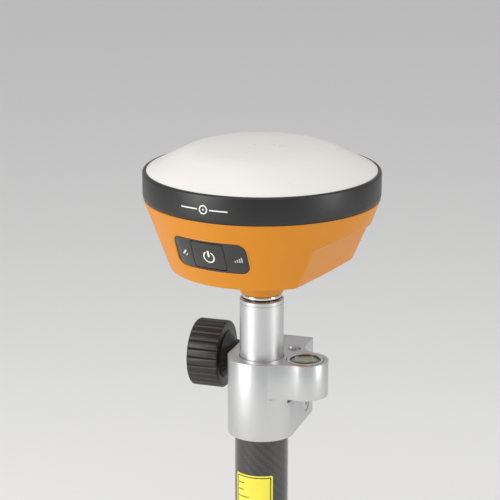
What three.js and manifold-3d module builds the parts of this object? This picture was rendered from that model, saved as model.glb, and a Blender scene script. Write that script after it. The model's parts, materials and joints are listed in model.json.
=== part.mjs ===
// GNSS receiver on the head of its two-piece survey pole.
// Millimetres, +Z up. The origin is the centre of the pole section's lower end, the pole's axis is Z,
// the key panel faces -Y and the battery door faces +Y. Heights inside the assembly are measured from
// the radome's rim, so everything on the pole has a negative height.

import * as THREE from 'three';
import { mergeVertices } from 'three/addons/utils/BufferGeometryUtils.js';
import Module from 'manifold-3d';

const wasm = await Module();
wasm.setup();

// Driving dimensions
const RIM_HEIGHT = 356;              // radome rim above the pole section's lower end
const GAP = 0.3;                     // clearance between neighbouring pieces
const ROUND = 56;                    // sides of a large turned piece
const MIDDLE_ROUND = 32;             // sides of a tube or a collar
const SMALL_ROUND = 20;              // sides of a small turned piece

// Radome: crown, shoulder and straight flank
const RIM_R = 77.2;
const RADOME_APEX = 19.3;
const CROWN_RADIUS = 240;
const CROWN_EDGE_R = 41;
const SHOULDER_RADIUS = 50;
const FLANK_ANGLE = THREE.MathUtils.degToRad(27);
const RADOME_WALL = 2.6;
const SKIRT_DEPTH = 8.6;
const SKIRT_WALL = 2.3;

// Bumper band round the joint of the two shells
const BAND_R = 79.8;
const BAND_HEIGHT = 18.6;
const BAND_INNER_R = RIM_R + 0.4;

// Lower housing: a cone with two cut-away sides, a flat floor and a neck
const CONE_TOP_R = 79.3;
const CONE_TOP_Z = -18.9;
const CONE_BOTTOM_R = 61.8;
const FLOOR_Z = -66.4;
const CONE_SLOPE = (CONE_TOP_R - CONE_BOTTOM_R) / (CONE_TOP_Z - FLOOR_Z);
const CONE_ANGLE = Math.atan(CONE_SLOPE);
const HOUSING_WALL = 2.8;
const LOWER_EDGE_RADIUS = 2;
const NECK_R = 14.8;
const NECK_END_Z = -85.9;
const FACET_BOTTOM_X = 48.5;         // cut side's distance from the axis at the floor
const CREASE_X = 60.5;               // and at its crease with the cove above it
const CREASE_Z = -39.3;
const COVE_SLOPE = 0.5;
const FACET_ANGLE = Math.atan((CREASE_X - FACET_BOTTOM_X) / (CREASE_Z - FLOOR_Z));

// Key panel in front and battery door behind share one outline
const WINDOW_HALF_WIDTH = 27;
const WINDOW_TOP_Z = -32.1;
const WINDOW_BOTTOM_Z = -54.4;
const WINDOW_CORNER = 6.3;
const PLATE_THICKNESS = 2.5;
const KEY_HALF_WIDTH = 11.7;
const KEY_HALF_HEIGHT = 9;
const KEY_TRAVEL = 0.8;

// Battery bay
const BAY_HALF_WIDTH = 17.5;
const BAY_HALF_HEIGHT = 8.8;
const BAY_DEPTH = 70;
const BAY_WALL = 1.4;
const STUD_X = 22.6;
const HINGE_X = -28.6;

// Pole
const INNER_TUBE_R = 15;
const INNER_TUBE_WALL = 1.5;
const INNER_TUBE_TOP = -89.7;
const INNER_TUBE_END = -285;
const CARBON_R = 18.5;
const CARBON_WALL = 2;
const CARBON_TOP = -161.6;
const CARBON_END = -341;
const THREAD_R = 7.9;                // 5/8-11 survey thread

// Clamp: plan outline in its own axes, screws run along its X, ears point along its +Y
const CLAMP_TURN = THREE.MathUtils.degToRad(12);
const CLAMP_TOP = -131;
const CLAMP_BOTTOM = -185.9;
const COLLAR_R = 23.3;
const EAR_HALF_WIDTH = 23;
const EAR_BACK = 47;
const EAR_SPLIT = 3.6;
const SLIT_TOP = -156.7;
const SLIT_BOTTOM = -160.7;
const SLIT_HALF_ANGLE = THREE.MathUtils.degToRad(113);
const LOBE_X = 31;
const LOBE_R = 15.8;
const LOBE_BOTTOM = -155.8;
const FRONT_FILLET = 31;
const REAR_FILLET = 13.4;
const SCREW_Y = 32.5;
const KNOB_Z = -144.8;
const JAW_SCREW_Z = -173.3;
const KNOB_R = 23.8;
const KNOB_NEAR = -35.8;
const KNOB_FAR = -58.6;
const KNOB_LOBES = 24;

// Materials
const finish = (color, roughness, metalness) =>
	new THREE.MeshStandardMaterial({ color, roughness, metalness });
const whitePlastic = finish(0xe6e3dc, 0.28, 0);
const blackRubber = finish(0x2a2929, 0.6, 0);
const orangePlastic = finish(0xd98a22, 0.35, 0);
const panelPlastic = finish(0x33342f, 0.25, 0);
const blackPlastic = finish(0x1f1d1b, 0.42, 0);
const anodised = finish(0xb9bcbf, 0.38, 0.95);
const polishedSteel = finish(0xd2d4d6, 0.14, 1);
const brass = finish(0xb8954d, 0.3, 1);
const circuitBoard = finish(0x1d5a38, 0.5, 0);
const tinPlate = finish(0xb7b7b2, 0.3, 0.9);
const ceramic = finish(0xded8c8, 0.45, 0);
const carbonWeave = finish(0x24221f, 0.35, 0);
const yellowFilm = finish(0xe0d43c, 0.4, 0);
const clearAcrylic = finish(0xc9c79a, 0.08, 0);
const silicone = finish(0x4c4c4a, 0.6, 0);

// Solid from a closed geometry: position only, shared vertices merged, faces turned outwards
function solid(geometry) {
	const bare = new THREE.BufferGeometry();
	bare.setAttribute('position', geometry.getAttribute('position').clone());
	if (geometry.index) bare.setIndex(geometry.index.clone());
	const merged = mergeVertices(bare, 1e-4);
	const positions = merged.getAttribute('position').array;
	const corners = [];
	for (let i = 0; i < merged.index.count; i += 3) {
		const [a, b, c] = [0, 1, 2].map((k) => merged.index.getX(i + k));
		if (a !== b && b !== c && c !== a) corners.push(a, b, c);
	}
	const point = (i) => new THREE.Vector3().fromArray(positions, 3 * i);
	let volume = 0;
	for (let i = 0; i < corners.length; i += 3) {
		volume += point(corners[i]).dot(point(corners[i + 1]).cross(point(corners[i + 2])));
	}
	if (volume < 0) corners.reverse();
	return new wasm.Manifold(new wasm.Mesh({
		numProp: 3,
		vertProperties: new Float32Array(positions),
		triVerts: new Uint32Array(corners),
	}));
}

function part(parent, name, body, material) {
	const { vertProperties, triVerts } = body.getMesh();
	const geometry = new THREE.BufferGeometry();
	geometry.setAttribute('position', new THREE.BufferAttribute(vertProperties, 3));
	geometry.setIndex(new THREE.BufferAttribute(triVerts, 1));
	geometry.computeVertexNormals();
	const mesh = new THREE.Mesh(geometry, material);
	mesh.name = name;
	parent.add(mesh);
	return mesh;
}

// A turned piece: the profile is a list of [radius, height] that starts and ends on the axis,
// or a closed loop when the piece has a bore
function turned(profile, sides = ROUND) {
	const outline = profile.map(([r, z]) => new THREE.Vector2(r, z));
	if (profile[0][0] > 0) outline.push(outline[0].clone());
	return solid(new THREE.LatheGeometry(outline, sides).rotateX(Math.PI / 2));
}

const disc = (radius, bottom, top, sides = SMALL_ROUND) =>
	turned([[0, bottom], [radius, bottom], [radius, top], [0, top]], sides);

const ring = (inner, outer, bottom, top, sides = SMALL_ROUND) =>
	turned([[inner, bottom], [outer, bottom], [outer, top], [inner, top]], sides);

const box = (width, depth, height, x, y, z) =>
	solid(new THREE.BoxGeometry(width, depth, height).translate(x, y, z));

// A cylinder along X between two places
const crossRod = (radius, x1, x2, y, z, sides = SMALL_ROUND) =>
	solid(new THREE.CylinderGeometry(radius, radius, x2 - x1, sides)
		.rotateZ(Math.PI / 2).translate((x1 + x2) / 2, y, z));

function roundedRectangle(halfWidth, halfHeight, radius) {
	const [x, y] = [halfWidth - radius, halfHeight - radius];
	const shape = new THREE.Shape();
	shape.absarc(x, y, radius, 0, Math.PI / 2);
	shape.absarc(-x, y, radius, Math.PI / 2, Math.PI);
	shape.absarc(-x, -y, radius, Math.PI, Math.PI * 1.5);
	shape.absarc(x, -y, radius, Math.PI * 1.5, Math.PI * 2);
	return shape;
}

const prism = (shape, depth, curveSegments = 5) =>
	new THREE.ExtrudeGeometry(shape, { depth, bevelEnabled: false, curveSegments });

// Axes of a place on a sloping side: X along the side, Y outwards, Z up the slope
function sideFrame(azimuth, slope, x, y, z) {
	const radial = new THREE.Vector3(Math.cos(azimuth), Math.sin(azimuth), 0);
	const along = new THREE.Vector3(Math.sin(azimuth), -Math.cos(azimuth), 0);
	const up = new THREE.Vector3(0, 0, 1);
	const outward = radial.clone().multiplyScalar(Math.cos(slope)).addScaledVector(up, -Math.sin(slope));
	const upSlope = radial.clone().multiplyScalar(Math.sin(slope)).addScaledVector(up, Math.cos(slope));
	return new THREE.Matrix4().makeBasis(along, outward, upSlope).setPosition(x, y, z);
}

const assembly = new THREE.Group();
assembly.position.z = RIM_HEIGHT;

// ---------------------------------------------------------------- radome and bumper band

const crownEdgeAngle = Math.asin(CROWN_EDGE_R / CROWN_RADIUS);

function radomeOutline() {
	const points = [];
	const crownSteps = 4;
	for (let i = 0; i <= crownSteps; i++) {
		const angle = crownEdgeAngle * i / crownSteps;
		points.push([CROWN_RADIUS * Math.sin(angle), RADOME_APEX - CROWN_RADIUS * (1 - Math.cos(angle))]);
	}
	const [edgeR, edgeZ] = points[crownSteps];
	const shoulderSteps = 4;
	for (let i = 1; i <= shoulderSteps; i++) {
		const angle = crownEdgeAngle + (FLANK_ANGLE - crownEdgeAngle) * i / shoulderSteps;
		points.push([
			edgeR + SHOULDER_RADIUS * (Math.sin(angle) - Math.sin(crownEdgeAngle)),
			edgeZ + SHOULDER_RADIUS * (Math.cos(angle) - Math.cos(crownEdgeAngle)),
		]);
	}
	const [flankR, flankZ] = points[points.length - 1];
	points.push([RIM_R, flankZ - (RIM_R - flankR) * Math.tan(FLANK_ANGLE)]);
	return points;
}

const outerSkin = radomeOutline();
const innerSkin = outerSkin.slice(0, -1).filter((point, i) => i % 2 === 0)
	.map(([r, z]) => [r, z - RADOME_WALL]).reverse();
const skirtInnerR = RIM_R - SKIRT_WALL;
const radome = turned([
	...outerSkin,
	[RIM_R, -SKIRT_DEPTH],
	[skirtInnerR, -SKIRT_DEPTH],
	[skirtInnerR, -RADOME_WALL],
	...innerSkin,
]);
part(assembly, 'radome', radome, whitePlastic);

const sealTop = -SKIRT_DEPTH - GAP;
const sealBottom = sealTop - 1.2;
part(assembly, 'radome_seal', ring(skirtInnerR + 0.2, RIM_R - 0.4, sealBottom, sealTop, ROUND), silicone);

// The band's face is upright, its lower lip tapers and its top edge rolls over to the radome
const bumperBand = turned([
	[BAND_INNER_R, -BAND_HEIGHT],
	[BAND_R - 0.8, -BAND_HEIGHT],
	[BAND_R, -BAND_HEIGHT + 2.6],
	[BAND_R, -BAND_HEIGHT / 2],
	[BAND_R - 0.15, -3],
	[BAND_R - 0.8, -1],
	[BAND_R - 1.5, -0.2],
	[BAND_INNER_R, 0],
]);
part(assembly, 'bumper_band', bumperBand, blackRubber);

// ---------------------------------------------------------------- lower housing

const coneRadius = (z) => CONE_TOP_R + CONE_SLOPE * (z - CONE_TOP_Z);
const acrossCone = (offset) => offset / Math.cos(CONE_ANGLE);

// Wedge that cuts one side of the housing away, moved inwards by an offset
function sideWedge(offset) {
	const shift = offset / Math.cos(FACET_ANGLE);
	const facetSlope = Math.tan(FACET_ANGLE);
	const [outX, lowZ] = [100, -110];
	const shape = new THREE.Shape([
		new THREE.Vector2(CREASE_X - shift, CREASE_Z + offset),
		new THREE.Vector2(outX, CREASE_Z + offset + COVE_SLOPE * (outX - CREASE_X + shift)),
		new THREE.Vector2(outX, lowZ),
		new THREE.Vector2(CREASE_X - shift + facetSlope * (lowZ - CREASE_Z - offset), lowZ),
	]);
	const width = 180;
	const wedge = solid(prism(shape, width).rotateX(Math.PI / 2).translate(0, width / 2, 0));
	return wedge.add(wedge.mirror([1, 0, 0]));
}

const spigotR = RIM_R;
const spigotTop = sealBottom - GAP;
const lowerEdgeStart = FLOOR_Z + LOWER_EDGE_RADIUS * 0.9;
const neckRootR = 20;
const housingOutside = turned([
	[0, spigotTop],
	[spigotR, spigotTop],
	[spigotR, CONE_TOP_Z],
	[CONE_TOP_R, CONE_TOP_Z],
	[coneRadius(lowerEdgeStart), lowerEdgeStart],
	[CONE_BOTTOM_R - 0.28 * LOWER_EDGE_RADIUS, FLOOR_Z + 0.33 * LOWER_EDGE_RADIUS],
	[CONE_BOTTOM_R - LOWER_EDGE_RADIUS, FLOOR_Z],
	[neckRootR, FLOOR_Z - 1.6],
	[NECK_R + 1.5, FLOOR_Z - 3],
	[NECK_R, FLOOR_Z - 6],
	[NECK_R, NECK_END_Z + 0.8],
	[NECK_R - 0.8, NECK_END_Z],
	[0, NECK_END_Z],
]);
const cavityFloor = FLOOR_Z + 3.4;
const housingInside = turned([
	[0, 5],
	[skirtInnerR - 0.4, 5],
	[skirtInnerR - 0.4, CONE_TOP_Z],
	[coneRadius(cavityFloor) - acrossCone(HOUSING_WALL) - 2, cavityFloor],
	[0, cavityFloor],
]);
const insertR = 11.5;
const insertTop = cavityFloor - 1.6;
let lowerHousing = housingOutside.subtract(sideWedge(0))
	.subtract(housingInside.subtract(sideWedge(HOUSING_WALL)))
	.subtract(disc(insertR + GAP, NECK_END_Z - 1, insertTop + GAP));

// Four screws rise through the floor into the chassis posts
const SCREW_RING_R = 51.5;
const screwPlaces = [45, 135, 225, 315].map((degrees) => {
	const angle = THREE.MathUtils.degToRad(degrees);
	return [SCREW_RING_R * Math.cos(angle), SCREW_RING_R * Math.sin(angle)];
});
const headRecess = 2.2;
for (const [x, y] of screwPlaces) {
	lowerHousing = lowerHousing
		.subtract(disc(3.6, FLOOR_Z - 1, FLOOR_Z + headRecess).translate([x, y, 0]))
		.subtract(disc(1.9, FLOOR_Z - 1, cavityFloor + 1).translate([x, y, 0]));
}

// Window outline, pushed through the wall in front of or behind the axis
const windowMidZ = (WINDOW_TOP_Z + WINDOW_BOTTOM_Z) / 2;
const windowHalfHeight = (WINDOW_TOP_Z - WINDOW_BOTTOM_Z) / 2;
function throughWall(halfWidth, halfHeight, radius, side) {
	const reach = 90;
	const shape = roundedRectangle(halfWidth, halfHeight, radius);
	const start = side > 0 ? reach : 0;
	return solid(prism(shape, reach).rotateX(Math.PI / 2).translate(0, start, windowMidZ));
}
const panelCut = (shrink) =>
	throughWall(WINDOW_HALF_WIDTH - shrink, windowHalfHeight - shrink, WINDOW_CORNER - shrink, -1);

// The door's window is cut square to the sloping face, so that the door swings out past its edges
const doorFrame = sideFrame(Math.PI / 2, CONE_ANGLE, 0, coneRadius(windowMidZ), windowMidZ);
function doorCut(shrink) {
	const [inwards, outwards] = [30, 20];
	const shape = roundedRectangle(WINDOW_HALF_WIDTH - shrink,
		windowHalfHeight / Math.cos(CONE_ANGLE) - shrink, WINDOW_CORNER - shrink);
	return solid(prism(shape, inwards + outwards).rotateX(Math.PI / 2)
		.translate(0, outwards, 0).applyMatrix4(doorFrame));
}
lowerHousing = lowerHousing.subtract(panelCut(0)).subtract(doorCut(0));

// Skin of the cone between two depths below its outer face
function coneLayer(outerDepth, innerDepth) {
	const [top, bottom] = [WINDOW_TOP_Z + 8, WINDOW_BOTTOM_Z - 8];
	return turned([
		[coneRadius(bottom) - acrossCone(innerDepth), bottom],
		[coneRadius(bottom) - acrossCone(outerDepth), bottom],
		[coneRadius(top) - acrossCone(outerDepth), top],
		[coneRadius(top) - acrossCone(innerDepth), top],
	]);
}

// Everything deeper than a depth below the cone's outer face
const insideCone = (depth) => turned([
	[0, WINDOW_BOTTOM_Z - 8],
	[coneRadius(WINDOW_BOTTOM_Z - 8) - acrossCone(depth), WINDOW_BOTTOM_Z - 8],
	[coneRadius(WINDOW_TOP_Z + 8) - acrossCone(depth), WINDOW_TOP_Z + 8],
	[0, WINDOW_TOP_Z + 8],
]);

// ---------------------------------------------------------------- key panel

const PLATE_DEPTH = 0.25;            // the panel lies just below the housing's face
const plateLayer = coneLayer(PLATE_DEPTH, PLATE_DEPTH + PLATE_THICKNESS);
const keyCorner = 1.5;
const keyOpening = throughWall(KEY_HALF_WIDTH + GAP, KEY_HALF_HEIGHT + GAP, keyCorner, -1);
part(assembly, 'panel_plate', plateLayer.intersect(panelCut(GAP)).subtract(keyOpening), panelPlastic);

const keyBody = coneLayer(PLATE_DEPTH, PLATE_DEPTH + PLATE_THICKNESS)
	.intersect(throughWall(KEY_HALF_WIDTH, KEY_HALF_HEIGHT, keyCorner, -1));
part(assembly, 'power_key', keyBody, panelPlastic);

// Silicone spring pad under the key, stood off by the key's travel, with the panel board behind it
const padFront = PLATE_DEPTH + PLATE_THICKNESS + KEY_TRAVEL + GAP;
const padLayer = coneLayer(padFront, padFront + 1.6);
part(assembly, 'key_pad', padLayer.intersect(throughWall(15, 9.5, 2, -1)), silicone);
const guideWidth = 8;
const guideBlock = (x) => coneLayer(PLATE_DEPTH + PLATE_THICKNESS + GAP, padFront + 1.6)
	.intersect(box(guideWidth, 100, 9, x, -50, windowMidZ));
part(assembly, 'light_guide_left', guideBlock(-20.5), clearAcrylic);
part(assembly, 'light_guide_right', guideBlock(20.5), clearAcrylic);
const boardFrame = sideFrame(-Math.PI / 2, CONE_ANGLE, 0, -coneRadius(windowMidZ), windowMidZ);
const sagitta = 6.5;
const panelBoard = solid(new THREE.BoxGeometry(50, 1.6, 20)
	.translate(0, -padFront - 2.6 - sagitta, 0).applyMatrix4(boardFrame));
part(assembly, 'panel_board', panelBoard, circuitBoard);

// ---------------------------------------------------------------- battery bay, door and latch stud

const gasketFront = PLATE_DEPTH + PLATE_THICKNESS + GAP;
const gasketBack = gasketFront + 1.3;
const flangeFront = gasketBack + GAP;
const bayOpening = throughWall(BAY_HALF_WIDTH, BAY_HALF_HEIGHT, 1.5, 1);
const gasketRing = coneLayer(gasketFront, gasketBack)
	.intersect(throughWall(BAY_HALF_WIDTH + 1.8, BAY_HALF_HEIGHT + 1.2, 2, 1))
	.intersect(doorCut(GAP)).subtract(bayOpening);
part(assembly, 'door_gasket', gasketRing, silicone);

const backY = coneRadius(windowMidZ) - acrossCone(flangeFront) - 6;
const tubFront = backY - BAY_DEPTH;
const tubReach = BAY_DEPTH + 40;
const tubShell = box(2 * (BAY_HALF_WIDTH + BAY_WALL), tubReach + BAY_WALL,
	2 * (BAY_HALF_HEIGHT + BAY_WALL), 0, tubFront + (tubReach - BAY_WALL) / 2, windowMidZ)
	.intersect(insideCone(flangeFront));
const tubHollow = box(2 * BAY_HALF_WIDTH, tubReach, 2 * BAY_HALF_HEIGHT,
	0, tubFront + tubReach / 2, windowMidZ);
const flange = coneLayer(flangeFront, flangeFront + 2.4)
	.intersect(throughWall(WINDOW_HALF_WIDTH + 2, windowHalfHeight - 0.2, 3, 1));
const studAzimuth = Math.PI / 2 - Math.asin(STUD_X / coneRadius(windowMidZ));
const studSpot = coneRadius(windowMidZ);
const studFrame = sideFrame(studAzimuth, CONE_ANGLE,
	studSpot * Math.cos(studAzimuth), studSpot * Math.sin(studAzimuth), windowMidZ);
const outwardRod = (radius, from, to, frame) => solid(new THREE.CylinderGeometry(
	radius, radius, to - from, SMALL_ROUND).translate(0, (from + to) / 2, 0).applyMatrix4(frame));
const studShankR = 1.6;
const studTip = -PLATE_DEPTH - PLATE_THICKNESS - 3;
const batteryTub = flange.add(tubShell).subtract(tubHollow)
	.subtract(outwardRod(studShankR + 0.5, -14, 3, studFrame));
part(assembly, 'battery_tub', batteryTub, blackPlastic);

const packWidth = 2 * BAY_HALF_WIDTH - 1;
const packHeight = 2 * BAY_HALF_HEIGHT - 1;
const packBack = backY - 1.5;
const packFront = tubFront + 2.6;
const packMidY = (packBack + packFront) / 2;
const packShape = roundedRectangle(packWidth / 2, packHeight / 2, 2.5);
const packBody = solid(prism(packShape, packBack - packFront).rotateX(Math.PI / 2)
	.translate(0, packMidY + (packBack - packFront) / 2, windowMidZ));
part(assembly, 'battery_pack', packBody, blackPlastic);
part(assembly, 'battery_contacts', box(20, 1.7, 6, 0, tubFront + 1.15, windowMidZ), brass);

// The hinge stands beside the door, parallel to the door's straight side edge
const BARREL_LIFT = 2.2;
const BARREL_R = 1.6;
const PIN_R = 0.7;
const hingeFrame = sideFrame(Math.PI / 2, CONE_ANGLE,
	HINGE_X, Math.sqrt(coneRadius(windowMidZ) ** 2 - HINGE_X ** 2), windowMidZ);
const upRod = (radius, from, to, sides = 16) => solid(new THREE.CylinderGeometry(
	radius, radius, to - from, sides).rotateX(Math.PI / 2)
	.translate(0, BARREL_LIFT, (from + to) / 2).applyMatrix4(hingeFrame));
const framedBox = (x1, x2, y1, y2, z1, z2, frame) =>
	solid(new THREE.BoxGeometry(x2 - x1, y2 - y1, z2 - z1)
		.translate((x1 + x2) / 2, (y1 + y2) / 2, (z1 + z2) / 2).applyMatrix4(frame));
const knuckle = 4;
const pinHole = upRod(PIN_R + GAP, -20, 20);
const doorKnuckle = upRod(BARREL_R, -knuckle, knuckle)
	.add(framedBox(0, 5, 0.9, 2.8, -knuckle, knuckle, hingeFrame));
const doorPlate = coneLayer(0, PLATE_THICKNESS).intersect(doorCut(GAP));
const batteryDoor = doorPlate.add(doorKnuckle).subtract(pinHole)
	.subtract(outwardRod(3.5, -10, 10, studFrame));
part(assembly, 'battery_door', batteryDoor, blackPlastic);

for (const side of [-1, 1]) {
	const [near, far] = [side * (knuckle + GAP), side * (2 * knuckle + GAP)];
	const [low, high] = [Math.min(near, far), Math.max(near, far)];
	lowerHousing = lowerHousing.add(upRod(BARREL_R, low, high))
		.add(framedBox(-2.6, 0, -2.4, 2.8, low, high, hingeFrame));
}
lowerHousing = lowerHousing.subtract(pinHole);
part(assembly, 'door_hinge_pin', upRod(PIN_R, -2 * knuckle, 2 * knuckle, 12), polishedSteel);

const studHeadR = 3.2;
const coinSlot = framedBox(-2.6, 2.6, 0.1, 2, -0.5, 0.5, studFrame);
const doorStud = outwardRod(studHeadR, -PLATE_THICKNESS, 0.7, studFrame)
	.add(outwardRod(studShankR, studTip, -1, studFrame)).subtract(coinSlot);
part(assembly, 'door_stud', doorStud, polishedSteel);

// ---------------------------------------------------------------- data port on the left side

const portZ = -53.5;
const facetX = (z) => FACET_BOTTOM_X + Math.tan(FACET_ANGLE) * (z - FLOOR_Z);
const portFrame = sideFrame(Math.PI, FACET_ANGLE, -facetX(portZ), 0, portZ);
const framedPlate = (halfWidth, halfHeight, radius, from, to) => solid(
	prism(roundedRectangle(halfWidth, halfHeight, radius), to - from, 4).rotateX(Math.PI / 2)
		.translate(0, to, 0).applyMatrix4(portFrame));
const PORT_HALF_WIDTH = 10;
const PORT_HALF_HEIGHT = 5.6;
const capRecess = 1.4;
lowerHousing = lowerHousing
	.subtract(framedPlate(PORT_HALF_WIDTH + GAP, PORT_HALF_HEIGHT + GAP, 2, -capRecess - GAP, 3))
	.subtract(framedPlate(7.5, 3.9, 1.6, -8, 1));
part(assembly, 'lower_housing', lowerHousing, orangePlastic);

const capPlug = framedPlate(6.6, 2.8, 1.2, -2.6, -capRecess + 0.2);
const capPlate = framedPlate(PORT_HALF_WIDTH, PORT_HALF_HEIGHT, 1.8, -capRecess, 0.5);
const capGrip = framedBox(-4, 4, 0.3, 1.4, -PORT_HALF_HEIGHT + 0.6, -PORT_HALF_HEIGHT + 1.8, portFrame);
part(assembly, 'port_cap', capPlate.add(capPlug).add(capGrip), blackRubber);
const portShell = framedPlate(6, 3, 1.2, -12, -3.3)
	.subtract(framedPlate(4.6, 1.6, 1.2, -10, -2));
part(assembly, 'data_port', portShell, tinPlate);

// ---------------------------------------------------------------- electronics inside the head

const groundPlane = ring(4, 66, -6.2, -4.8, MIDDLE_ROUND);
part(assembly, 'ground_plane', groundPlane, anodised);
const patch = (half, bottom, top) =>
	solid(prism(roundedRectangle(half, half, half * 0.25), top - bottom, 4).translate(0, 0, bottom));
part(assembly, 'antenna_lower_patch', patch(38, -4.5, 0.5), ceramic);
part(assembly, 'antenna_upper_patch', patch(24, 0.8, 5.6), ceramic);
part(assembly, 'antenna_amplifier_can', disc(24, -12.4, -6.5), tinPlate);

const boardTop = -22.4;
const boardBottom = boardTop - 1.6;
part(assembly, 'main_board', disc(66, boardBottom, boardTop, MIDDLE_ROUND), circuitBoard);
const onBoard = (width, depth, height, x, y) =>
	box(width, depth, height, x, y, boardTop + GAP + height / 2);
part(assembly, 'gnss_module_can', onBoard(42, 30, 4, -22, 12), tinPlate);
part(assembly, 'radio_module_can', onBoard(36, 28, 5, 26, -14), tinPlate);
part(assembly, 'wireless_module_can', onBoard(24, 18, 3, -20, -28), tinPlate);
part(assembly, 'buzzer', disc(6, boardTop + GAP, boardTop + 5).translate([24, 30, 0]), blackPlastic);

const chassisTop = boardBottom - GAP;
const postR = 4.2;
const postBottom = cavityFloor + GAP;
let chassis = ring(56, 68, chassisTop - 2.2, chassisTop, MIDDLE_ROUND);
for (const [x, y] of screwPlaces) {
	chassis = chassis.add(disc(postR, postBottom, chassisTop - 1, 16).translate([x, y, 0]))
		.add(box(12, 12, 2.2, x * 1.08, y * 1.08, chassisTop - 1.1))
		.subtract(disc(1.9, postBottom - 1, postBottom + 12, 16).translate([x, y, 0]));
}
part(assembly, 'chassis_frame', chassis, anodised);

screwPlaces.forEach(([x, y], i) => {
	const headTop = FLOOR_Z + headRecess - GAP;
	const headBottom = FLOOR_Z + 0.3;
	const screw = disc(3, headBottom, headTop, 20).add(disc(1.5, headTop - 0.5, postBottom + 9, 12))
		.subtract(disc(1.4, headBottom - 1, headBottom + 1, 6));
	part(assembly, `housing_screw_${i + 1}`, screw.translate([x, y, 0]), polishedSteel);
});

// ---------------------------------------------------------------- neck, steel ring and pole thread

const insertBore = disc(THREAD_R + GAP, NECK_END_Z - 1, insertTop - 2.5);
part(assembly, 'thread_insert', disc(insertR, NECK_END_Z, insertTop).subtract(insertBore), brass);
const ringTop = NECK_END_Z - GAP;
const ringBottom = ringTop - 2.4;
part(assembly, 'neck_ring', turned([
	[THREAD_R + 0.5, ringBottom],
	[13.3, ringBottom],
	[13.65, ringBottom + 0.4],
	[13.65, ringTop - 0.4],
	[13.3, ringTop],
	[THREAD_R + 0.5, ringTop],
], MIDDLE_ROUND), polishedSteel);
const washerTop = ringBottom - GAP;
const washerBottom = washerTop - 0.5;
part(assembly, 'neck_washer',
	ring(THREAD_R + 0.4, 12.6, washerBottom, washerTop, MIDDLE_ROUND), blackPlastic);

// Plug in the tube's end with the threaded stud that carries the receiver
const plugR = INNER_TUBE_R - INNER_TUBE_WALL - GAP;
const studEnd = insertTop - 3.2;
part(assembly, 'pole_stud', turned([
	[0, INNER_TUBE_TOP - 26],
	[plugR, INNER_TUBE_TOP - 26],
	[plugR, INNER_TUBE_TOP],
	[THREAD_R, INNER_TUBE_TOP],
	[THREAD_R, studEnd - 1],
	[THREAD_R - 1, studEnd],
	[0, studEnd],
], MIDDLE_ROUND), polishedSteel);
const tubeInnerR = INNER_TUBE_R - INNER_TUBE_WALL;
part(assembly, 'inner_tube', turned([
	[tubeInnerR, INNER_TUBE_END],
	[INNER_TUBE_R, INNER_TUBE_END],
	[INNER_TUBE_R, INNER_TUBE_TOP - 3.1],
	[INNER_TUBE_R - 0.4, INNER_TUBE_TOP - 2.9],
	[INNER_TUBE_R - 0.4, INNER_TUBE_TOP - 2.5],
	[INNER_TUBE_R, INNER_TUBE_TOP - 2.3],
	[INNER_TUBE_R, INNER_TUBE_TOP - 0.5],
	[INNER_TUBE_R - 0.5, INNER_TUBE_TOP],
	[tubeInnerR, INNER_TUBE_TOP],
], MIDDLE_ROUND), anodised);

// ---------------------------------------------------------------- clamp with level and knob

const clamp = new THREE.Group();
clamp.rotation.z = CLAMP_TURN;
assembly.add(clamp);

// The lobe for the level joins the collar by a wide fillet in front and a tighter one behind
function clampOutline(withLobe) {
	const shape = new THREE.Shape();
	shape.moveTo(-EAR_HALF_WIDTH, EAR_BACK);
	shape.lineTo(-EAR_HALF_WIDTH, Math.sqrt(COLLAR_R ** 2 - EAR_HALF_WIDTH ** 2));
	const leftAngle = Math.PI - Math.acos(EAR_HALF_WIDTH / COLLAR_R);
	if (!withLobe) {
		shape.absarc(0, 0, COLLAR_R, leftAngle, 2 * Math.PI + Math.acos(EAR_HALF_WIDTH / COLLAR_R));
		shape.lineTo(EAR_HALF_WIDTH, EAR_BACK);
		return shape;
	}
	// Centre of the front fillet: tangent to the collar and to the lobe from outside
	const [toCollar, toLobe] = [COLLAR_R + FRONT_FILLET, LOBE_R + FRONT_FILLET];
	const frontX = (toCollar ** 2 - toLobe ** 2 + LOBE_X ** 2) / (2 * LOBE_X);
	const frontY = -Math.sqrt(toCollar ** 2 - frontX ** 2);
	const collarAngle = Math.atan2(frontY, frontX);
	const lobeFrontAngle = Math.atan2(frontY, frontX - LOBE_X);
	// Centre of the rear fillet: tangent to the lobe and to the ear's side
	const rearX = EAR_HALF_WIDTH + REAR_FILLET;
	const rearY = Math.sqrt((LOBE_R + REAR_FILLET) ** 2 - (rearX - LOBE_X) ** 2);
	const lobeRearAngle = Math.atan2(rearY, rearX - LOBE_X);
	shape.absarc(0, 0, COLLAR_R, leftAngle, 2 * Math.PI + collarAngle);
	shape.absarc(frontX, frontY, FRONT_FILLET, collarAngle + Math.PI, lobeFrontAngle + Math.PI, true);
	shape.absarc(LOBE_X, 0, LOBE_R, lobeFrontAngle, lobeRearAngle);
	shape.absarc(rearX, rearY, REAR_FILLET, lobeRearAngle - Math.PI, -Math.PI, true);
	shape.lineTo(EAR_HALF_WIDTH, EAR_BACK);
	return shape;
}

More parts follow.
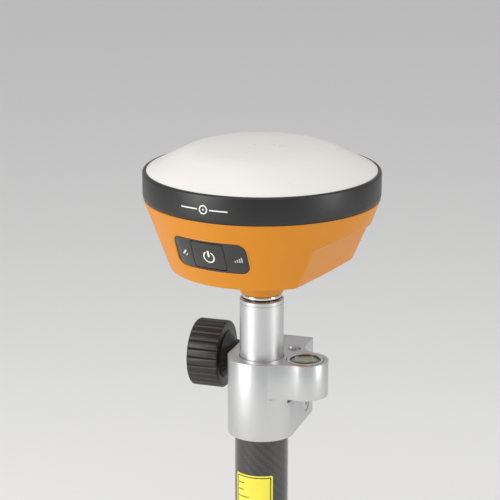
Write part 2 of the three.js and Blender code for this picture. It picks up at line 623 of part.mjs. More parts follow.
const slitMiddle = (LOBE_BOTTOM + SLIT_TOP) / 2;
const clampPrism = (withLobe, bottom, top, curveSegments) =>
	solid(prism(clampOutline(withLobe), top - bottom, curveSegments).translate(0, 0, bottom));
const clampUpper = clampPrism(true, LOBE_BOTTOM, CLAMP_TOP, 9);
const clampLower = clampPrism(false, CLAMP_BOTTOM, slitMiddle, 14);
const clampJoin = clampPrism(false, LOBE_BOTTOM - 1.5, LOBE_BOTTOM + 0.5, 14);
const slitShape = new THREE.Shape();
slitShape.moveTo(0, 0);
slitShape.absarc(0, 0, 90, Math.PI / 2 - SLIT_HALF_ANGLE, Math.PI / 2 + SLIT_HALF_ANGLE);
slitShape.lineTo(0, 0);
const vialSeatR = 12.9;
const vialSeatDepth = 8;
let clampBody = clampUpper.add(clampJoin).add(clampLower)
	.subtract(disc(INNER_TUBE_R + GAP, CLAMP_BOTTOM - 1, CLAMP_TOP + 1, MIDDLE_ROUND))
	.subtract(disc(CARBON_R + GAP, CLAMP_BOTTOM - 1, SLIT_BOTTOM - 0.2, MIDDLE_ROUND))
	.subtract(box(EAR_SPLIT, 60, 80, 0, 30, (CLAMP_TOP + CLAMP_BOTTOM) / 2))
	.subtract(solid(prism(slitShape, SLIT_TOP - SLIT_BOTTOM, 8).translate(0, 0, SLIT_BOTTOM)))
	.subtract(disc(vialSeatR, CLAMP_TOP - vialSeatDepth, CLAMP_TOP + 1).translate([LOBE_X, 0, 0]));

// Screw holes: the knob's screw runs into a nut on the right, the jaw's screw into one on the left
const SCREW_R = 4;
const nutFlat = 6.5;
const nutR = nutFlat / Math.cos(Math.PI / 6);
const nutDepth = 7;
const jawHeadR = 6.5;
clampBody = clampBody
	.subtract(crossRod(SCREW_R + GAP, -50, 50, SCREW_Y, KNOB_Z))
	.subtract(crossRod(SCREW_R + GAP, -50, 50, SCREW_Y, JAW_SCREW_Z))
	.subtract(crossRod(nutR + GAP, EAR_HALF_WIDTH - nutDepth, 50, SCREW_Y, KNOB_Z, 6))
	.subtract(crossRod(nutR + GAP, -50, -EAR_HALF_WIDTH + nutDepth, SCREW_Y, JAW_SCREW_Z, 6))
	.subtract(crossRod(jawHeadR + 0.4, EAR_HALF_WIDTH - 8.6, 50, SCREW_Y, JAW_SCREW_Z))
	.subtract(disc(4.5, CLAMP_TOP - 12, CLAMP_TOP + 1).translate([17.4, 19.4, 0]));
part(clamp, 'clamp_body', clampBody, anodised);

const hexNut = (x1, x2, z) => crossRod(nutR, x1, x2, SCREW_Y, z, 6)
	.subtract(crossRod(SCREW_R + GAP, x1 - 1, x2 + 1, SCREW_Y, z));
part(clamp, 'knob_nut', hexNut(EAR_HALF_WIDTH - nutDepth + GAP, EAR_HALF_WIDTH - 0.2, KNOB_Z),
	polishedSteel);
part(clamp, 'jaw_nut', hexNut(-EAR_HALF_WIDTH + 0.2, -EAR_HALF_WIDTH + nutDepth - GAP, JAW_SCREW_Z),
	polishedSteel);
const jawHead = crossRod(jawHeadR, EAR_HALF_WIDTH - 8.3, EAR_HALF_WIDTH - 0.4, SCREW_Y, JAW_SCREW_Z);
const jawScrew = jawHead
	.add(crossRod(SCREW_R, -EAR_HALF_WIDTH + 1, EAR_HALF_WIDTH - 8, SCREW_Y, JAW_SCREW_Z))
	.subtract(crossRod(3.5, EAR_HALF_WIDTH - 4.5, EAR_HALF_WIDTH + 1, SCREW_Y, JAW_SCREW_Z, 6));
part(clamp, 'jaw_screw', jawScrew, polishedSteel);
const grubScrew = disc(4.2, CLAMP_TOP - 11.5, CLAMP_TOP - 3, 20)
	.subtract(disc(2.2, CLAMP_TOP - 6.5, CLAMP_TOP - 2, 6)).translate([17.4, 19.4, 0]);
part(clamp, 'grub_screw', grubScrew, blackPlastic);

// Bull's-eye level
const level = new THREE.Group();
level.position.set(LOBE_X, 0, CLAMP_TOP);
clamp.add(level);
const cupR = vialSeatR - GAP;
part(level, 'level_cup', turned([
	[0, -vialSeatDepth + GAP],
	[cupR, -vialSeatDepth + GAP],
	[cupR, 0.3],
	[cupR - 2.2, 0.3],
	[cupR - 2.2, -6],
	[0, -6],
], MIDDLE_ROUND), polishedSteel);
const vialR = cupR - 2.2 - GAP;
part(level, 'level_vial', turned([
	[0, -6 + GAP],
	[vialR, -6 + GAP],
	[vialR, -1.6],
	[vialR * 0.6, -1.2],
	[0, -1],
], MIDDLE_ROUND), clearAcrylic);

// Knob on its screw: the thrust washer rides along the thread while the knob turns on it
const washerOut = -EAR_HALF_WIDTH - GAP;
const thrustWasher = crossRod(11.5, washerOut - 2.2, washerOut, SCREW_Y, KNOB_Z)
	.subtract(crossRod(SCREW_R + GAP, washerOut - 5, washerOut + 5, SCREW_Y, KNOB_Z));
part(clamp, 'thrust_washer', thrustWasher, polishedSteel);

function knobOutline() {
	const shape = new THREE.Shape();
	const steps = KNOB_LOBES * 4;
	const fluteDepth = 1.2;
	for (let i = 0; i < steps; i++) {
		const angle = 2 * Math.PI * i / steps;
		const wave = Math.abs(Math.cos(angle * KNOB_LOBES / 2)) ** 0.6;
		const radius = KNOB_R - fluteDepth + fluteDepth * wave - 1.2;
		shape[i ? 'lineTo' : 'moveTo'](radius * Math.cos(angle), radius * Math.sin(angle));
	}
	return shape;
}
const rimBevel = 1.2;
const gripLength = KNOB_NEAR - KNOB_FAR;
const knobGrip = solid(new THREE.ExtrudeGeometry(knobOutline(), {
	depth: gripLength - 2 * rimBevel,
	bevelThickness: rimBevel,
	bevelSize: rimBevel,
	bevelSegments: 2,
}).translate(0, 0, KNOB_FAR + rimBevel).rotateY(Math.PI / 2).translate(0, SCREW_Y, KNOB_Z));
const hubEnd = washerOut - 2.2 - GAP;
const faceDish = turned([
	[0, KNOB_FAR - 1],
	[KNOB_R - 3.4, KNOB_FAR - 1],
	[KNOB_R - 4.6, KNOB_FAR + 3],
	[11, KNOB_FAR + 5.4],
	[0, KNOB_FAR + 5.4],
], MIDDLE_ROUND).rotate([0, 90, 0]).translate([0, SCREW_Y, KNOB_Z]);
const hub = turned([
	[0, KNOB_NEAR - 1],
	[17, KNOB_NEAR - 1],
	[17, KNOB_NEAR + 0.6],
	[11.5, KNOB_NEAR + 5],
	[10.5, hubEnd],
	[0, hubEnd],
], MIDDLE_ROUND).rotate([0, 90, 0]).translate([0, SCREW_Y, KNOB_Z]);
const knobBody = knobGrip.subtract(faceDish)
	.add(hub)
	.subtract(crossRod(SCREW_R + GAP, KNOB_FAR + 12, 0, SCREW_Y, KNOB_Z));
part(clamp, 'clamp_knob', knobBody, blackPlastic);
const knobScrew = crossRod(SCREW_R, KNOB_FAR + 12 + GAP, EAR_HALF_WIDTH - 1, SCREW_Y, KNOB_Z);
part(clamp, 'knob_screw', knobScrew, polishedSteel);

// ---------------------------------------------------------------- carbon tube and its lower end

const carbonInnerR = CARBON_R - CARBON_WALL;
part(assembly, 'carbon_tube', ring(carbonInnerR, CARBON_R, CARBON_END, CARBON_TOP, MIDDLE_ROUND),
	carbonWeave);
part(assembly, 'slide_bush',
	ring(INNER_TUBE_R + GAP, carbonInnerR - GAP, CARBON_TOP - 24, CARBON_TOP, MIDDLE_ROUND), blackPlastic);
const stickerTop = -212.9;
const stickerHeight = 62;
const stickerStart = THREE.MathUtils.degToRad(-122.2);
const stickerAngle = THREE.MathUtils.degToRad(86);
const filmInner = CARBON_R + 0.1;
const filmOuter = CARBON_R + 0.35;
const stickerShape = new THREE.Shape();
stickerShape.absarc(0, 0, filmOuter, stickerStart, stickerStart + stickerAngle);
stickerShape.absarc(0, 0, filmInner, stickerStart + stickerAngle, stickerStart, true);
part(assembly, 'pole_sticker', solid(prism(stickerShape, stickerHeight, 10)
	.translate(0, 0, stickerTop - stickerHeight)), yellowFilm);

const ferruleBottom = -RIM_HEIGHT;
const ferrulePlugTop = CARBON_END + 21;
part(assembly, 'pole_ferrule', turned([
	[THREAD_R + 0.2, ferruleBottom],
	[CARBON_R - 1, ferruleBottom],
	[CARBON_R, ferruleBottom + 1],
	[CARBON_R, CARBON_END - 0.4],
	[carbonInnerR - GAP, CARBON_END - 0.4],
	[carbonInnerR - GAP, ferrulePlugTop],
	[THREAD_R - 3, ferrulePlugTop],
	[THREAD_R - 3, ferruleBottom + 24],
	[THREAD_R + 0.2, ferruleBottom + 24],
], MIDDLE_ROUND), anodised);

export default assembly;
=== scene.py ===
"""A satellite positioning receiver on the head of its carbon-fibre survey pole.

The file follows the assembly: the pole's lower end, the clamp with its level and knob, the sliding
tube, the receiver's lower housing with its port, electronics, key panel and battery bay, and at last
the bumper band and the radome.
"""

import json
import math

import bpy
from mathutils import Matrix, Vector


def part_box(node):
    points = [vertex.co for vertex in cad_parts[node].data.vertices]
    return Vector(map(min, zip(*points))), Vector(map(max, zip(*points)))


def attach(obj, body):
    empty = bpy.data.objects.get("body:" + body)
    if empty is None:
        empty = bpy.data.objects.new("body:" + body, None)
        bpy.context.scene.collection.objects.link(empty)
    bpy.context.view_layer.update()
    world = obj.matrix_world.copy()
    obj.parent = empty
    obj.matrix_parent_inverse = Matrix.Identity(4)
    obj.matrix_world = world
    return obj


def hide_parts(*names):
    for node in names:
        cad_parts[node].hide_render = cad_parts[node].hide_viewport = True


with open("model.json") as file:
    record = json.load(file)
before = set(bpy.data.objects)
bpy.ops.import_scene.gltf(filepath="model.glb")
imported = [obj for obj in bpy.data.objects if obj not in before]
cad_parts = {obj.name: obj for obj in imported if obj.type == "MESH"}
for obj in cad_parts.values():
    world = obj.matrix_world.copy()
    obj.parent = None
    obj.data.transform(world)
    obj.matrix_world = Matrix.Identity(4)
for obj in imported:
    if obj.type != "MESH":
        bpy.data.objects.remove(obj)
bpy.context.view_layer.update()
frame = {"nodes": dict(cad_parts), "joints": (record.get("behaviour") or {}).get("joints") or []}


# ---------------------------------------------------------------- studio

# A pale floor, a long-lens camera a little above the dome, and two tall soft boxes that leave the
# bright edges and the darker middle that satin tubes show, with a soft panel over the dome.

mm = 0.001
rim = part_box("bumper_band")[1].z


def linear(colour):
    """Linear red, green, blue and alpha of an sRGB hex colour."""
    channels = []
    for i in (1, 3, 5):
        value = int(colour[i:i + 2], 16) / 255
        channels.append(value / 12.92 if value <= 0.04045 else ((value + 0.055) / 1.055) ** 2.4)
    return (*channels, 1.0)


def add_node(material, kind, inputs=None, **settings):
    """Adds a node; each input is given a value, or an output of another node to link."""
    node = material.node_tree.nodes.new(kind)
    for name, value in settings.items():
        setattr(node, name, value)
    for name, value in (inputs or {}).items():
        if isinstance(value, bpy.types.NodeSocket):
            material.node_tree.links.new(value, node.inputs[name])
        else:
            node.inputs[name].default_value = value
    return node


def new_material(name, **sockets):
    """An empty material whose shader has these sockets set; returns the material and the shader."""
    material = bpy.data.materials.new(name)
    material.use_nodes = True
    shader = material.node_tree.nodes["Principled BSDF"]
    for socket, value in sockets.items():
        shader.inputs[socket.replace("_", " ")].default_value = value
    return material, shader


def join_socket(material, output, node, socket):
    material.node_tree.links.new(output, node.inputs[socket])


camera_azimuth = math.radians(30)
camera_data = bpy.data.cameras.new("camera")
camera_data.lens = 141.2
camera = bpy.data.objects.new("camera", camera_data)
bpy.context.scene.collection.objects.link(camera)
camera.location = Matrix.Rotation(camera_azimuth, 3, "Z") @ Vector((-8 * mm, -1269.7 * mm, 0))
camera.location.z = rim + 306.3 * mm
camera.rotation_euler = (math.radians(90 - 15.95), 0, camera_azimuth)
bpy.context.scene.camera = camera

bpy.ops.object.select_all(action="DESELECT")
bpy.ops.mesh.primitive_plane_add(size=24)
floor = bpy.context.object
floor.name = "floor"
floor_paint, floor_shader = new_material("floor_paint", Roughness=0.7)
floor_shader.inputs["Base Color"].default_value = linear("#f1f0ee")
floor.data.materials.append(floor_paint)


def soft_box(name, azimuth, elevation, distance, width, height, power):
    """An area light aimed at the receiver, placed by its angle from the camera's side."""
    data = bpy.data.lights.new(name, "AREA")
    data.shape = "RECTANGLE"
    data.size = width
    data.size_y = height
    data.energy = power
    light = bpy.data.objects.new(name, data)
    bpy.context.scene.collection.objects.link(light)
    turn = camera_azimuth + math.radians(azimuth)
    lift = math.radians(elevation)
    away = Vector((math.sin(turn) * math.cos(lift), -math.cos(turn) * math.cos(lift), math.sin(lift)))
    target = Vector((0, 0, rim - 60 * mm))
    light.location = target + away * distance
    light.rotation_euler = away.to_track_quat("Z", "Y").to_euler()


soft_box("left_soft_box", -58, 14, 1.3, 0.7, 1.3, 13)
soft_box("right_soft_box", 66, 12, 1.3, 0.45, 1.3, 7)
soft_box("overhead_panel", -10, 68, 1.4, 1.1, 1.1, 5)
world = bpy.data.worlds.new("studio")
bpy.context.scene.world = world
world.use_nodes = True
world.node_tree.nodes["Background"].inputs["Color"].default_value = linear("#f2f3f5")
world.node_tree.nodes["Background"].inputs["Strength"].default_value = 0.6
bpy.context.scene.view_settings.view_transform = "Standard"


# ---------------------------------------------------------------- pole ferrule

# Turned aluminium end of the pole section, bonded into the carbon tube. It has a threaded socket,
# three grip grooves and broken edges, and a satin anodised surface.


def first_point(name, place):
    """A new piece that is one vertex, left in edit mode so that a line can be drawn from it."""
    bpy.ops.object.select_all(action="DESELECT")
    bpy.ops.mesh.primitive_plane_add(size=mm, location=place)
    piece = bpy.context.object
    piece.name = name
    bpy.ops.object.transform_apply(location=True)
    bpy.ops.object.mode_set(mode="EDIT")
    bpy.ops.mesh.merge(type="CENTER")
    return piece


def draw_line(points):
    """Extrudes the selected vertex from each point to the next."""
    for here, there in zip(points, points[1:]):
        bpy.ops.mesh.extrude_region_move(TRANSFORM_OT_translate={"value": Vector(there) - Vector(here)})


def close_up():
    """Merges doubles, turns all faces outwards and leaves edit mode."""
    bpy.ops.mesh.select_all(action="SELECT")
    bpy.ops.mesh.remove_doubles(threshold=1e-6)
    bpy.ops.mesh.normals_make_consistent(inside=False)
    bpy.ops.object.mode_set(mode="OBJECT")


def smooth(piece, angle=32):
    bpy.ops.object.select_all(action="DESELECT")
    piece.select_set(True)
    bpy.context.view_layer.objects.active = piece
    bpy.ops.object.shade_smooth_by_angle(angle=math.radians(angle))


def turned(name, outline, steps=160):
    """Spins an outline of (radius, height) points once round the pole's axis."""
    points = [(radius, 0, height) for radius, height in outline]
    if outline[0][0] > 0:
        points.append(points[0])
    piece = first_point(name, points[0])
    draw_line(points)
    bpy.ops.mesh.select_all(action="SELECT")
    bpy.ops.mesh.spin(steps=steps, angle=2 * math.pi, center=(0, 0, 0), axis=(0, 0, 1))
    close_up()
    return piece


def soften(piece, width, segments=2, angle=35):
    """Breaks a piece's sharp edges with a bevel and smooths its shading."""
    bevel = piece.modifiers.new("broken_edges", "BEVEL")
    bevel.width = width
    bevel.segments = segments
    bevel.limit_method = "ANGLE"
    bevel.angle_limit = math.radians(angle)
    bevel.use_clamp_overlap = False
    bevel.miter_outer = "MITER_ARC"
    bpy.context.view_layer.objects.active = piece
    bpy.ops.object.modifier_apply(modifier=bevel.name)
    smooth(piece)


def fit(piece, body, slot, finish, *nodes):
    """Gives a finished piece its material and hangs it on its body in place of its nodes; slot is not used.
    """
    piece.data.materials.clear()
    piece.data.materials.append(finish)
    if nodes:
        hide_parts(*nodes)
    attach(piece, body)


def repaint(finish, *nodes):
    """Gives CAD nodes that keep their shape their real finish."""
    for node in nodes:
        piece = frame["nodes"][node]
        piece.data.materials.clear()
        piece.data.materials.append(finish)


def grain(material, shader, size, strength, distance):
    """A fine random relief, such as blasting or a moulding texture leaves, of this grain size."""
    place = add_node(material, "ShaderNodeTexCoord")
    noise = add_node(material, "ShaderNodeTexNoise",
                     {"Vector": place.outputs["Object"], "Scale": 1 / size, "Detail": 2.0})
    bump = add_node(material, "ShaderNodeBump",
                    {"Height": noise.outputs["Fac"], "Strength": strength, "Distance": distance})
    join_socket(material, bump.outputs["Normal"], shader, "Normal")


def mottle(material, shader, size, dark, light, low, high):
    """Slow changes of colour and gloss over the surface, from handling and the mould."""
    place = add_node(material, "ShaderNodeTexCoord")
    cloud = add_node(material, "ShaderNodeTexNoise",
                     {"Vector": place.outputs["Object"], "Scale": 1 / size, "Detail": 4.0})
    tint = add_node(material, "ShaderNodeMix", data_type="RGBA")
    join_socket(material, cloud.outputs["Fac"], tint, "Factor")
    tint.inputs["A"].default_value = linear(dark)
    tint.inputs["B"].default_value = linear(light)
    join_socket(material, tint.outputs["Result"], shader, "Base Color")
    gloss = add_node(material, "ShaderNodeMapRange",
                     {"Value": cloud.outputs["Fac"], "From Min": 0.3, "From Max": 0.7,
                      "To Min": low, "To Max": high})
    join_socket(material, gloss.outputs["Result"], shader, "Roughness")


def painted(name, size, dark, light, low, high, texture=None, **sockets):
    """A material that changes slowly in colour and gloss; texture is its grain's size and strength."""
    material, shader = new_material(name, **sockets)
    mottle(material, shader, size, dark, light, low, high)
    if texture:
        grain(material, shader, *texture)
    return material


# Satin anodised aluminium: bead blasted before anodising, so it is a metal with a soft spread
# reflection and a very fine even grain. The grain is drawn at 0.35 mm, coarser than the real one.
satin_aluminium = painted("satin_anodised_aluminium", 30 * mm, "#c9cacb", "#d3d3d3", 0.36, 0.42,
                          (0.35 * mm, 0.25, 0.05 * mm), Metallic=1.0)

low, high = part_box("pole_ferrule")
tube_low, tube_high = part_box("carbon_tube")
tube_radius = tube_high.x
plug_radius = tube_radius - 2.4 * mm
socket_radius = 8.1 * mm
edge = 0.8 * mm
groove = 0.5 * mm
shoulder = tube_low.z - 0.4 * mm
ferrule_outline = [(socket_radius + edge, low.z), (tube_radius - edge, low.z), (tube_radius, low.z + edge)]
for height in (4 * mm, 6 * mm, 8 * mm):
    ferrule_outline += [(tube_radius, low.z + height - groove), (tube_radius - groove, low.z + height),
                        (tube_radius, low.z + height + groove)]
ferrule_outline += [
    (tube_radius, shoulder - 0.3 * mm), (tube_radius - 0.3 * mm, shoulder), (plug_radius, shoulder),
    (plug_radius, high.z), (5 * mm, high.z), (5 * mm, low.z + 24 * mm), (socket_radius, low.z + 24 * mm),
    (socket_radius, low.z + edge),
]
ferrule = turned("ferrule", ferrule_outline)
smooth(ferrule)
fit(ferrule, "pole", "anodised_aluminium", satin_aluminium, "pole_ferrule")


# ---------------------------------------------------------------- carbon tube

# Roll-wrapped carbon fibre tube. Its outer layer is a woven twill under clear epoxy, so each tow
# catches the light from one side only, beneath one smooth coat.

tube = turned("pole_tube", [
    (tube_radius - 2 * mm, tube_low.z), (tube_radius - 0.3 * mm, tube_low.z),
    (tube_radius, tube_low.z + 0.3 * mm), (tube_radius, tube_high.z - 0.3 * mm),
    (tube_radius - 0.3 * mm, tube_high.z), (tube_radius - 2 * mm, tube_high.z),
])
smooth(tube)

carbon, shader = new_material("woven_carbon", Coat_Weight=1.0, Coat_Roughness=0.06, Coat_IOR=1.55)
tow = 1.7 * mm
place = add_node(carbon, "ShaderNodeTexCoord")
split = add_node(carbon, "ShaderNodeSeparateXYZ", {"Vector": place.outputs["Object"]})


def number(material, operation, *values):
    """One step of arithmetic on sockets or numbers."""
    node = add_node(material, "ShaderNodeMath", operation=operation)
    for i, value in enumerate(values):
        if isinstance(value, bpy.types.NodeSocket):
            material.node_tree.links.new(value, node.inputs[i])
        else:
            node.inputs[i].default_value = value
    return node.outputs[0]


tows_round = 2 * round(math.pi * tube_radius / tow)
around = number(carbon, "ARCTAN2", split.outputs["Y"], split.outputs["X"])
warp_place = number(carbon, "MULTIPLY", around, tows_round / (2 * math.pi))
weft_place = number(carbon, "DIVIDE", split.outputs["Z"], tow)
warp_row = number(carbon, "FLOOR", warp_place)
weft_row = number(carbon, "FLOOR", weft_place)
step = number(carbon, "FLOORED_MODULO", number(carbon, "ADD", warp_row, weft_row), 4)
warp_on_top = number(carbon, "LESS_THAN", step, 1.5)
warp_round = number(carbon, "PINGPONG", warp_place, 0.5)
weft_round = number(carbon, "PINGPONG", weft_place, 0.5)
tow_height = add_node(carbon, "ShaderNodeMix", {"Factor": warp_on_top, "A": weft_round, "B": warp_round},
                      data_type="FLOAT")
# Painted sheen: the tows on top one way are painted lighter than those on top the other way, for the light
# that fibres lying one way catch; the fibres are all the same black.
painted_tow_sheen = add_node(carbon, "ShaderNodeMix", data_type="RGBA")
join_socket(carbon, warp_on_top, painted_tow_sheen, "Factor")
painted_tow_sheen.inputs["A"].default_value = linear("#141312")
painted_tow_sheen.inputs["B"].default_value = linear("#282624")
join_socket(carbon, painted_tow_sheen.outputs["Result"], shader, "Base Color")
join_socket(carbon, number(carbon, "MULTIPLY_ADD", warp_on_top, 0.15, 0.38), shader, "Roughness")
shader.inputs["Metallic"].default_value = 0.2
weave_bump = add_node(carbon, "ShaderNodeBump",
                      {"Height": tow_height.outputs["Result"], "Strength": 0.5, "Distance": 0.25 * mm})
join_socket(carbon, weave_bump.outputs["Normal"], shader, "Normal")
fit(tube, "pole", "carbon_fibre", carbon, "carbon_tube")

# Black nylon: glass-filled and moulded, nearly matt, with a fine even texture from the mould.
black_nylon = painted("black_moulded_nylon", 12 * mm, "#161412", "#1e1c1a", 0.36, 0.46,
                      (0.5 * mm, 0.35, 0.08 * mm), IOR=1.53)
repaint(black_nylon, "slide_bush")


# ---------------------------------------------------------------- pole label

# A vinyl label wrapped on the tube: plain yellow with a thin dark border and a row of ruled marks,
# printed as thin raised ink.

low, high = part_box("pole_sticker")
label_radius = tube_radius + 0.35 * mm
label_start = math.radians(-122.2)
label_turn = math.radians(86)
label_width = label_turn * label_radius
label_corner = 1.2 * mm


def arc(x, y, radius, start, end, steps):
    """Points along an arc, from one angle in degrees to another."""
    angles = [math.radians(start + (end - start) * i / steps) for i in range(steps + 1)]
    return [(x + radius * math.cos(angle), y + radius * math.sin(angle)) for angle in angles]


def rounded_rectangle(width, height, corner, x=0.0, y=0.0, steps=6):
    """Outline of a rounded rectangle round a centre."""
    across, up = width / 2 - corner, height / 2 - corner
    return (arc(x + across, y + up, corner, 0, 90, steps) + arc(x - across, y + up, corner, 90, 180, steps)
            + arc(x - across, y - up, corner, 180, 270, steps)
            + arc(x + across, y - up, corner, 270, 360, steps))


def closed_line(name, points):
    """A closed line through points, left selected in edit mode."""
    piece = first_point(name, points[0])
    draw_line(points + [points[0]])
    bpy.ops.mesh.select_all(action="SELECT")
    bpy.ops.mesh.remove_doubles(threshold=1e-7)
    return piece


def sheet_shape(name, outline, thickness, spacing=None):
    """A flat sheet in the XZ plane, its front towards -Y, cut to an outline and then gridded."""
    piece = closed_line(name, [(x, 0, z) for x, z in outline])
    bpy.ops.mesh.edge_face_add()
    if spacing:
        xs = [x for x, z in outline]
        cuts = int((max(xs) - min(xs)) / spacing)
        for i in range(1, cuts + 1):
            across = min(xs) + (max(xs) - min(xs)) * i / (cuts + 1)
            bpy.ops.mesh.select_all(action="SELECT")
            bpy.ops.mesh.bisect(plane_co=(across, 0, 0), plane_no=(1, 0, 0))
    bpy.ops.mesh.select_all(action="SELECT")
    bpy.ops.mesh.extrude_region_move(TRANSFORM_OT_translate={"value": (0, -thickness, 0)})
    close_up()
    return piece


def wrap_on_tube(piece, radius, middle_angle):
    """Bends a flat sheet round the pole's axis; its own Y is kept as depth from the radius."""
    for vertex in piece.data.vertices:
        angle = middle_angle + vertex.co.x / radius
        reach = radius - vertex.co.y
        vertex.co = (reach * math.cos(angle), reach * math.sin(angle), vertex.co.z)


label_middle = label_start + label_turn / 2
label_height = high.z - low.z
label_z = (low.z + high.z) / 2
label = sheet_shape("pole_label", rounded_rectangle(label_width, label_height, label_corner, 0, label_z),
                    0.2 * mm, spacing=0.8 * mm)
wrap_on_tube(label, tube_radius + 0.12 * mm, label_middle)
smooth(label)

# Printed vinyl: an even opaque yellow under a glossy laminate, its tone changing slowly at random.
yellow_vinyl = painted("yellow_printed_vinyl", 18 * mm, "#dfd22f", "#efe445", 0.32, 0.42,
                       Coat_Weight=0.6, Coat_Roughness=0.1)
fit(label, "pole", "yellow_film", yellow_vinyl, "pole_sticker")

label_ink = painted("black_label_ink", 6 * mm, "#15140f", "#1d1c16", 0.35, 0.45)
border = 0.7 * mm
inset = 1.5 * mm
frame_width = label_width - 2 * inset
frame_height = label_height - 2 * inset
marks = []
for z in (label_z - frame_height / 2, label_z + frame_height / 2):
    marks.append((0, z, frame_width + border, border))
for x in (-frame_width / 2, frame_width / 2):
    marks.append((x, label_z, border, frame_height - border))
for i in range(1, 12):
    length = 9 * mm if i % 3 == 0 else 5 * mm
    marks.append((-frame_width / 2 + border + length / 2, label_z + frame_height / 2 - i * 5 * mm,
                  length, 0.6 * mm))
for i, (x, z, width, height) in enumerate(marks):
    ink = sheet_shape(f"label_mark_{i}", rounded_rectangle(width, height, 0.1 * mm, x, z, steps=1),
                      0.03 * mm, spacing=1.2 * mm)
    wrap_on_tube(ink, tube_radius + 0.31 * mm, label_middle)
    fit(ink, "pole", "yellow_film", label_ink)


# ---------------------------------------------------------------- clamp body

# Clamp cut from aluminium bar: a collar with two split ears behind it and a lobe that holds the
# level. A slot parts the upper jaw, on the sliding tube, from the lower jaw, on the carbon tube.

clamp_low, clamp_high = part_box("clamp_body")
knob_axis = next(joint["axis"] for joint in frame["joints"] if joint["name"] == "knob_turn")
clamp_turn = math.atan2(-knob_axis[1], -knob_axis[0])
collar = 23.3 * mm
ear_side = 23 * mm
ear_back = 47 * mm
lobe_x = 31 * mm
lobe = 15.8 * mm
lobe_bottom = clamp_high.z - 24.8 * mm
front_fillet = 31 * mm
rear_fillet = 13.4 * mm
slit_top = rim - 156.7 * mm
slit_bottom = rim - 160.7 * mm
screw_y = 32.5 * mm
knob_z = rim - 144.8 * mm
jaw_screw_z = rim - 173.3 * mm


def collar_outline(with_lobe):
    """Plan of the clamp: round in front, square ears behind, and the lobe blended in on the right."""
    side = math.degrees(math.acos(ear_side / collar))
    left = [(-ear_side, ear_back)]
    right = [(ear_side, ear_back)]
    if not with_lobe:
        return left + arc(0, 0, collar, 180 - side, 360 + side, 90) + right
    to_collar, to_lobe = collar + front_fillet, lobe + front_fillet
    front_x = (to_collar ** 2 - to_lobe ** 2 + lobe_x ** 2) / (2 * lobe_x)
    front_y = -math.sqrt(to_collar ** 2 - front_x ** 2)
    collar_end = math.degrees(math.atan2(front_y, front_x))
    lobe_start = math.degrees(math.atan2(front_y, front_x - lobe_x))
    rear_x = ear_side + rear_fillet
    rear_y = math.sqrt((lobe + rear_fillet) ** 2 - (rear_x - lobe_x) ** 2)
    lobe_end = math.degrees(math.atan2(rear_y, rear_x - lobe_x))
    # The same steps as on the plain collar, so that the two parts meet without slivers.
    step = (180 + 2 * side) / 90
    steps = int((180 + side + collar_end) / step)
    return (left + arc(0, 0, collar, 180 - side, 180 - side + steps * step, steps)
            + arc(front_x, front_y, front_fillet, collar_end + 180, lobe_start + 180, 16)
            + arc(lobe_x, 0, lobe, lobe_start, lobe_end, 70)
            + arc(rear_x, rear_y, rear_fillet, lobe_end - 180, -180, 24) + right)


def prism(name, outline, bottom, top):
    """An upright block with this plan."""
    piece = closed_line(name, [(x, y, bottom) for x, y in outline])
    bpy.ops.mesh.edge_face_add()
    bpy.ops.mesh.extrude_region_move(TRANSFORM_OT_translate={"value": (0, 0, top - bottom)})
    close_up()
    return piece


def rod(name, radius, start, end, sides=72):
    """A round bar between two points."""
    start, end = Vector(start), Vector(end)
    bpy.ops.object.select_all(action="DESELECT")
    bpy.ops.mesh.primitive_cylinder_add(
        vertices=sides, radius=radius, depth=(end - start).length, location=(start + end) / 2,
        rotation=(end - start).to_track_quat("Z", "Y").to_euler())
    piece = bpy.context.object
    piece.name = name
    bpy.ops.object.transform_apply(location=True, rotation=True, scale=True)
    return piece


def block(name, low, high):
    """A box between two corners."""
    low, high = Vector(low), Vector(high)
    bpy.ops.object.select_all(action="DESELECT")
    bpy.ops.mesh.primitive_cube_add(size=1, location=(low + high) / 2, scale=high - low)
    piece = bpy.context.object
    piece.name = name
    bpy.ops.object.transform_apply(location=True, rotation=True, scale=True)
    return piece


def combine(piece, operation, *tools):
    """Cuts tools from a piece, joins them to it or keeps what they share, and removes the tools."""
    for tool in tools:
        change = piece.modifiers.new("combine", "BOOLEAN")
        change.operation = operation
        change.solver = "EXACT"
        change.object = tool
        bpy.context.view_layer.objects.active = piece
        bpy.ops.object.modifier_apply(modifier=change.name)
        bpy.data.objects.remove(tool)


def turn_about_pole(piece):
    """Turns a piece drawn in the clamp's own axes to where the clamp points."""
    piece.data.transform(Matrix.Rotation(clamp_turn, 4, "Z"))


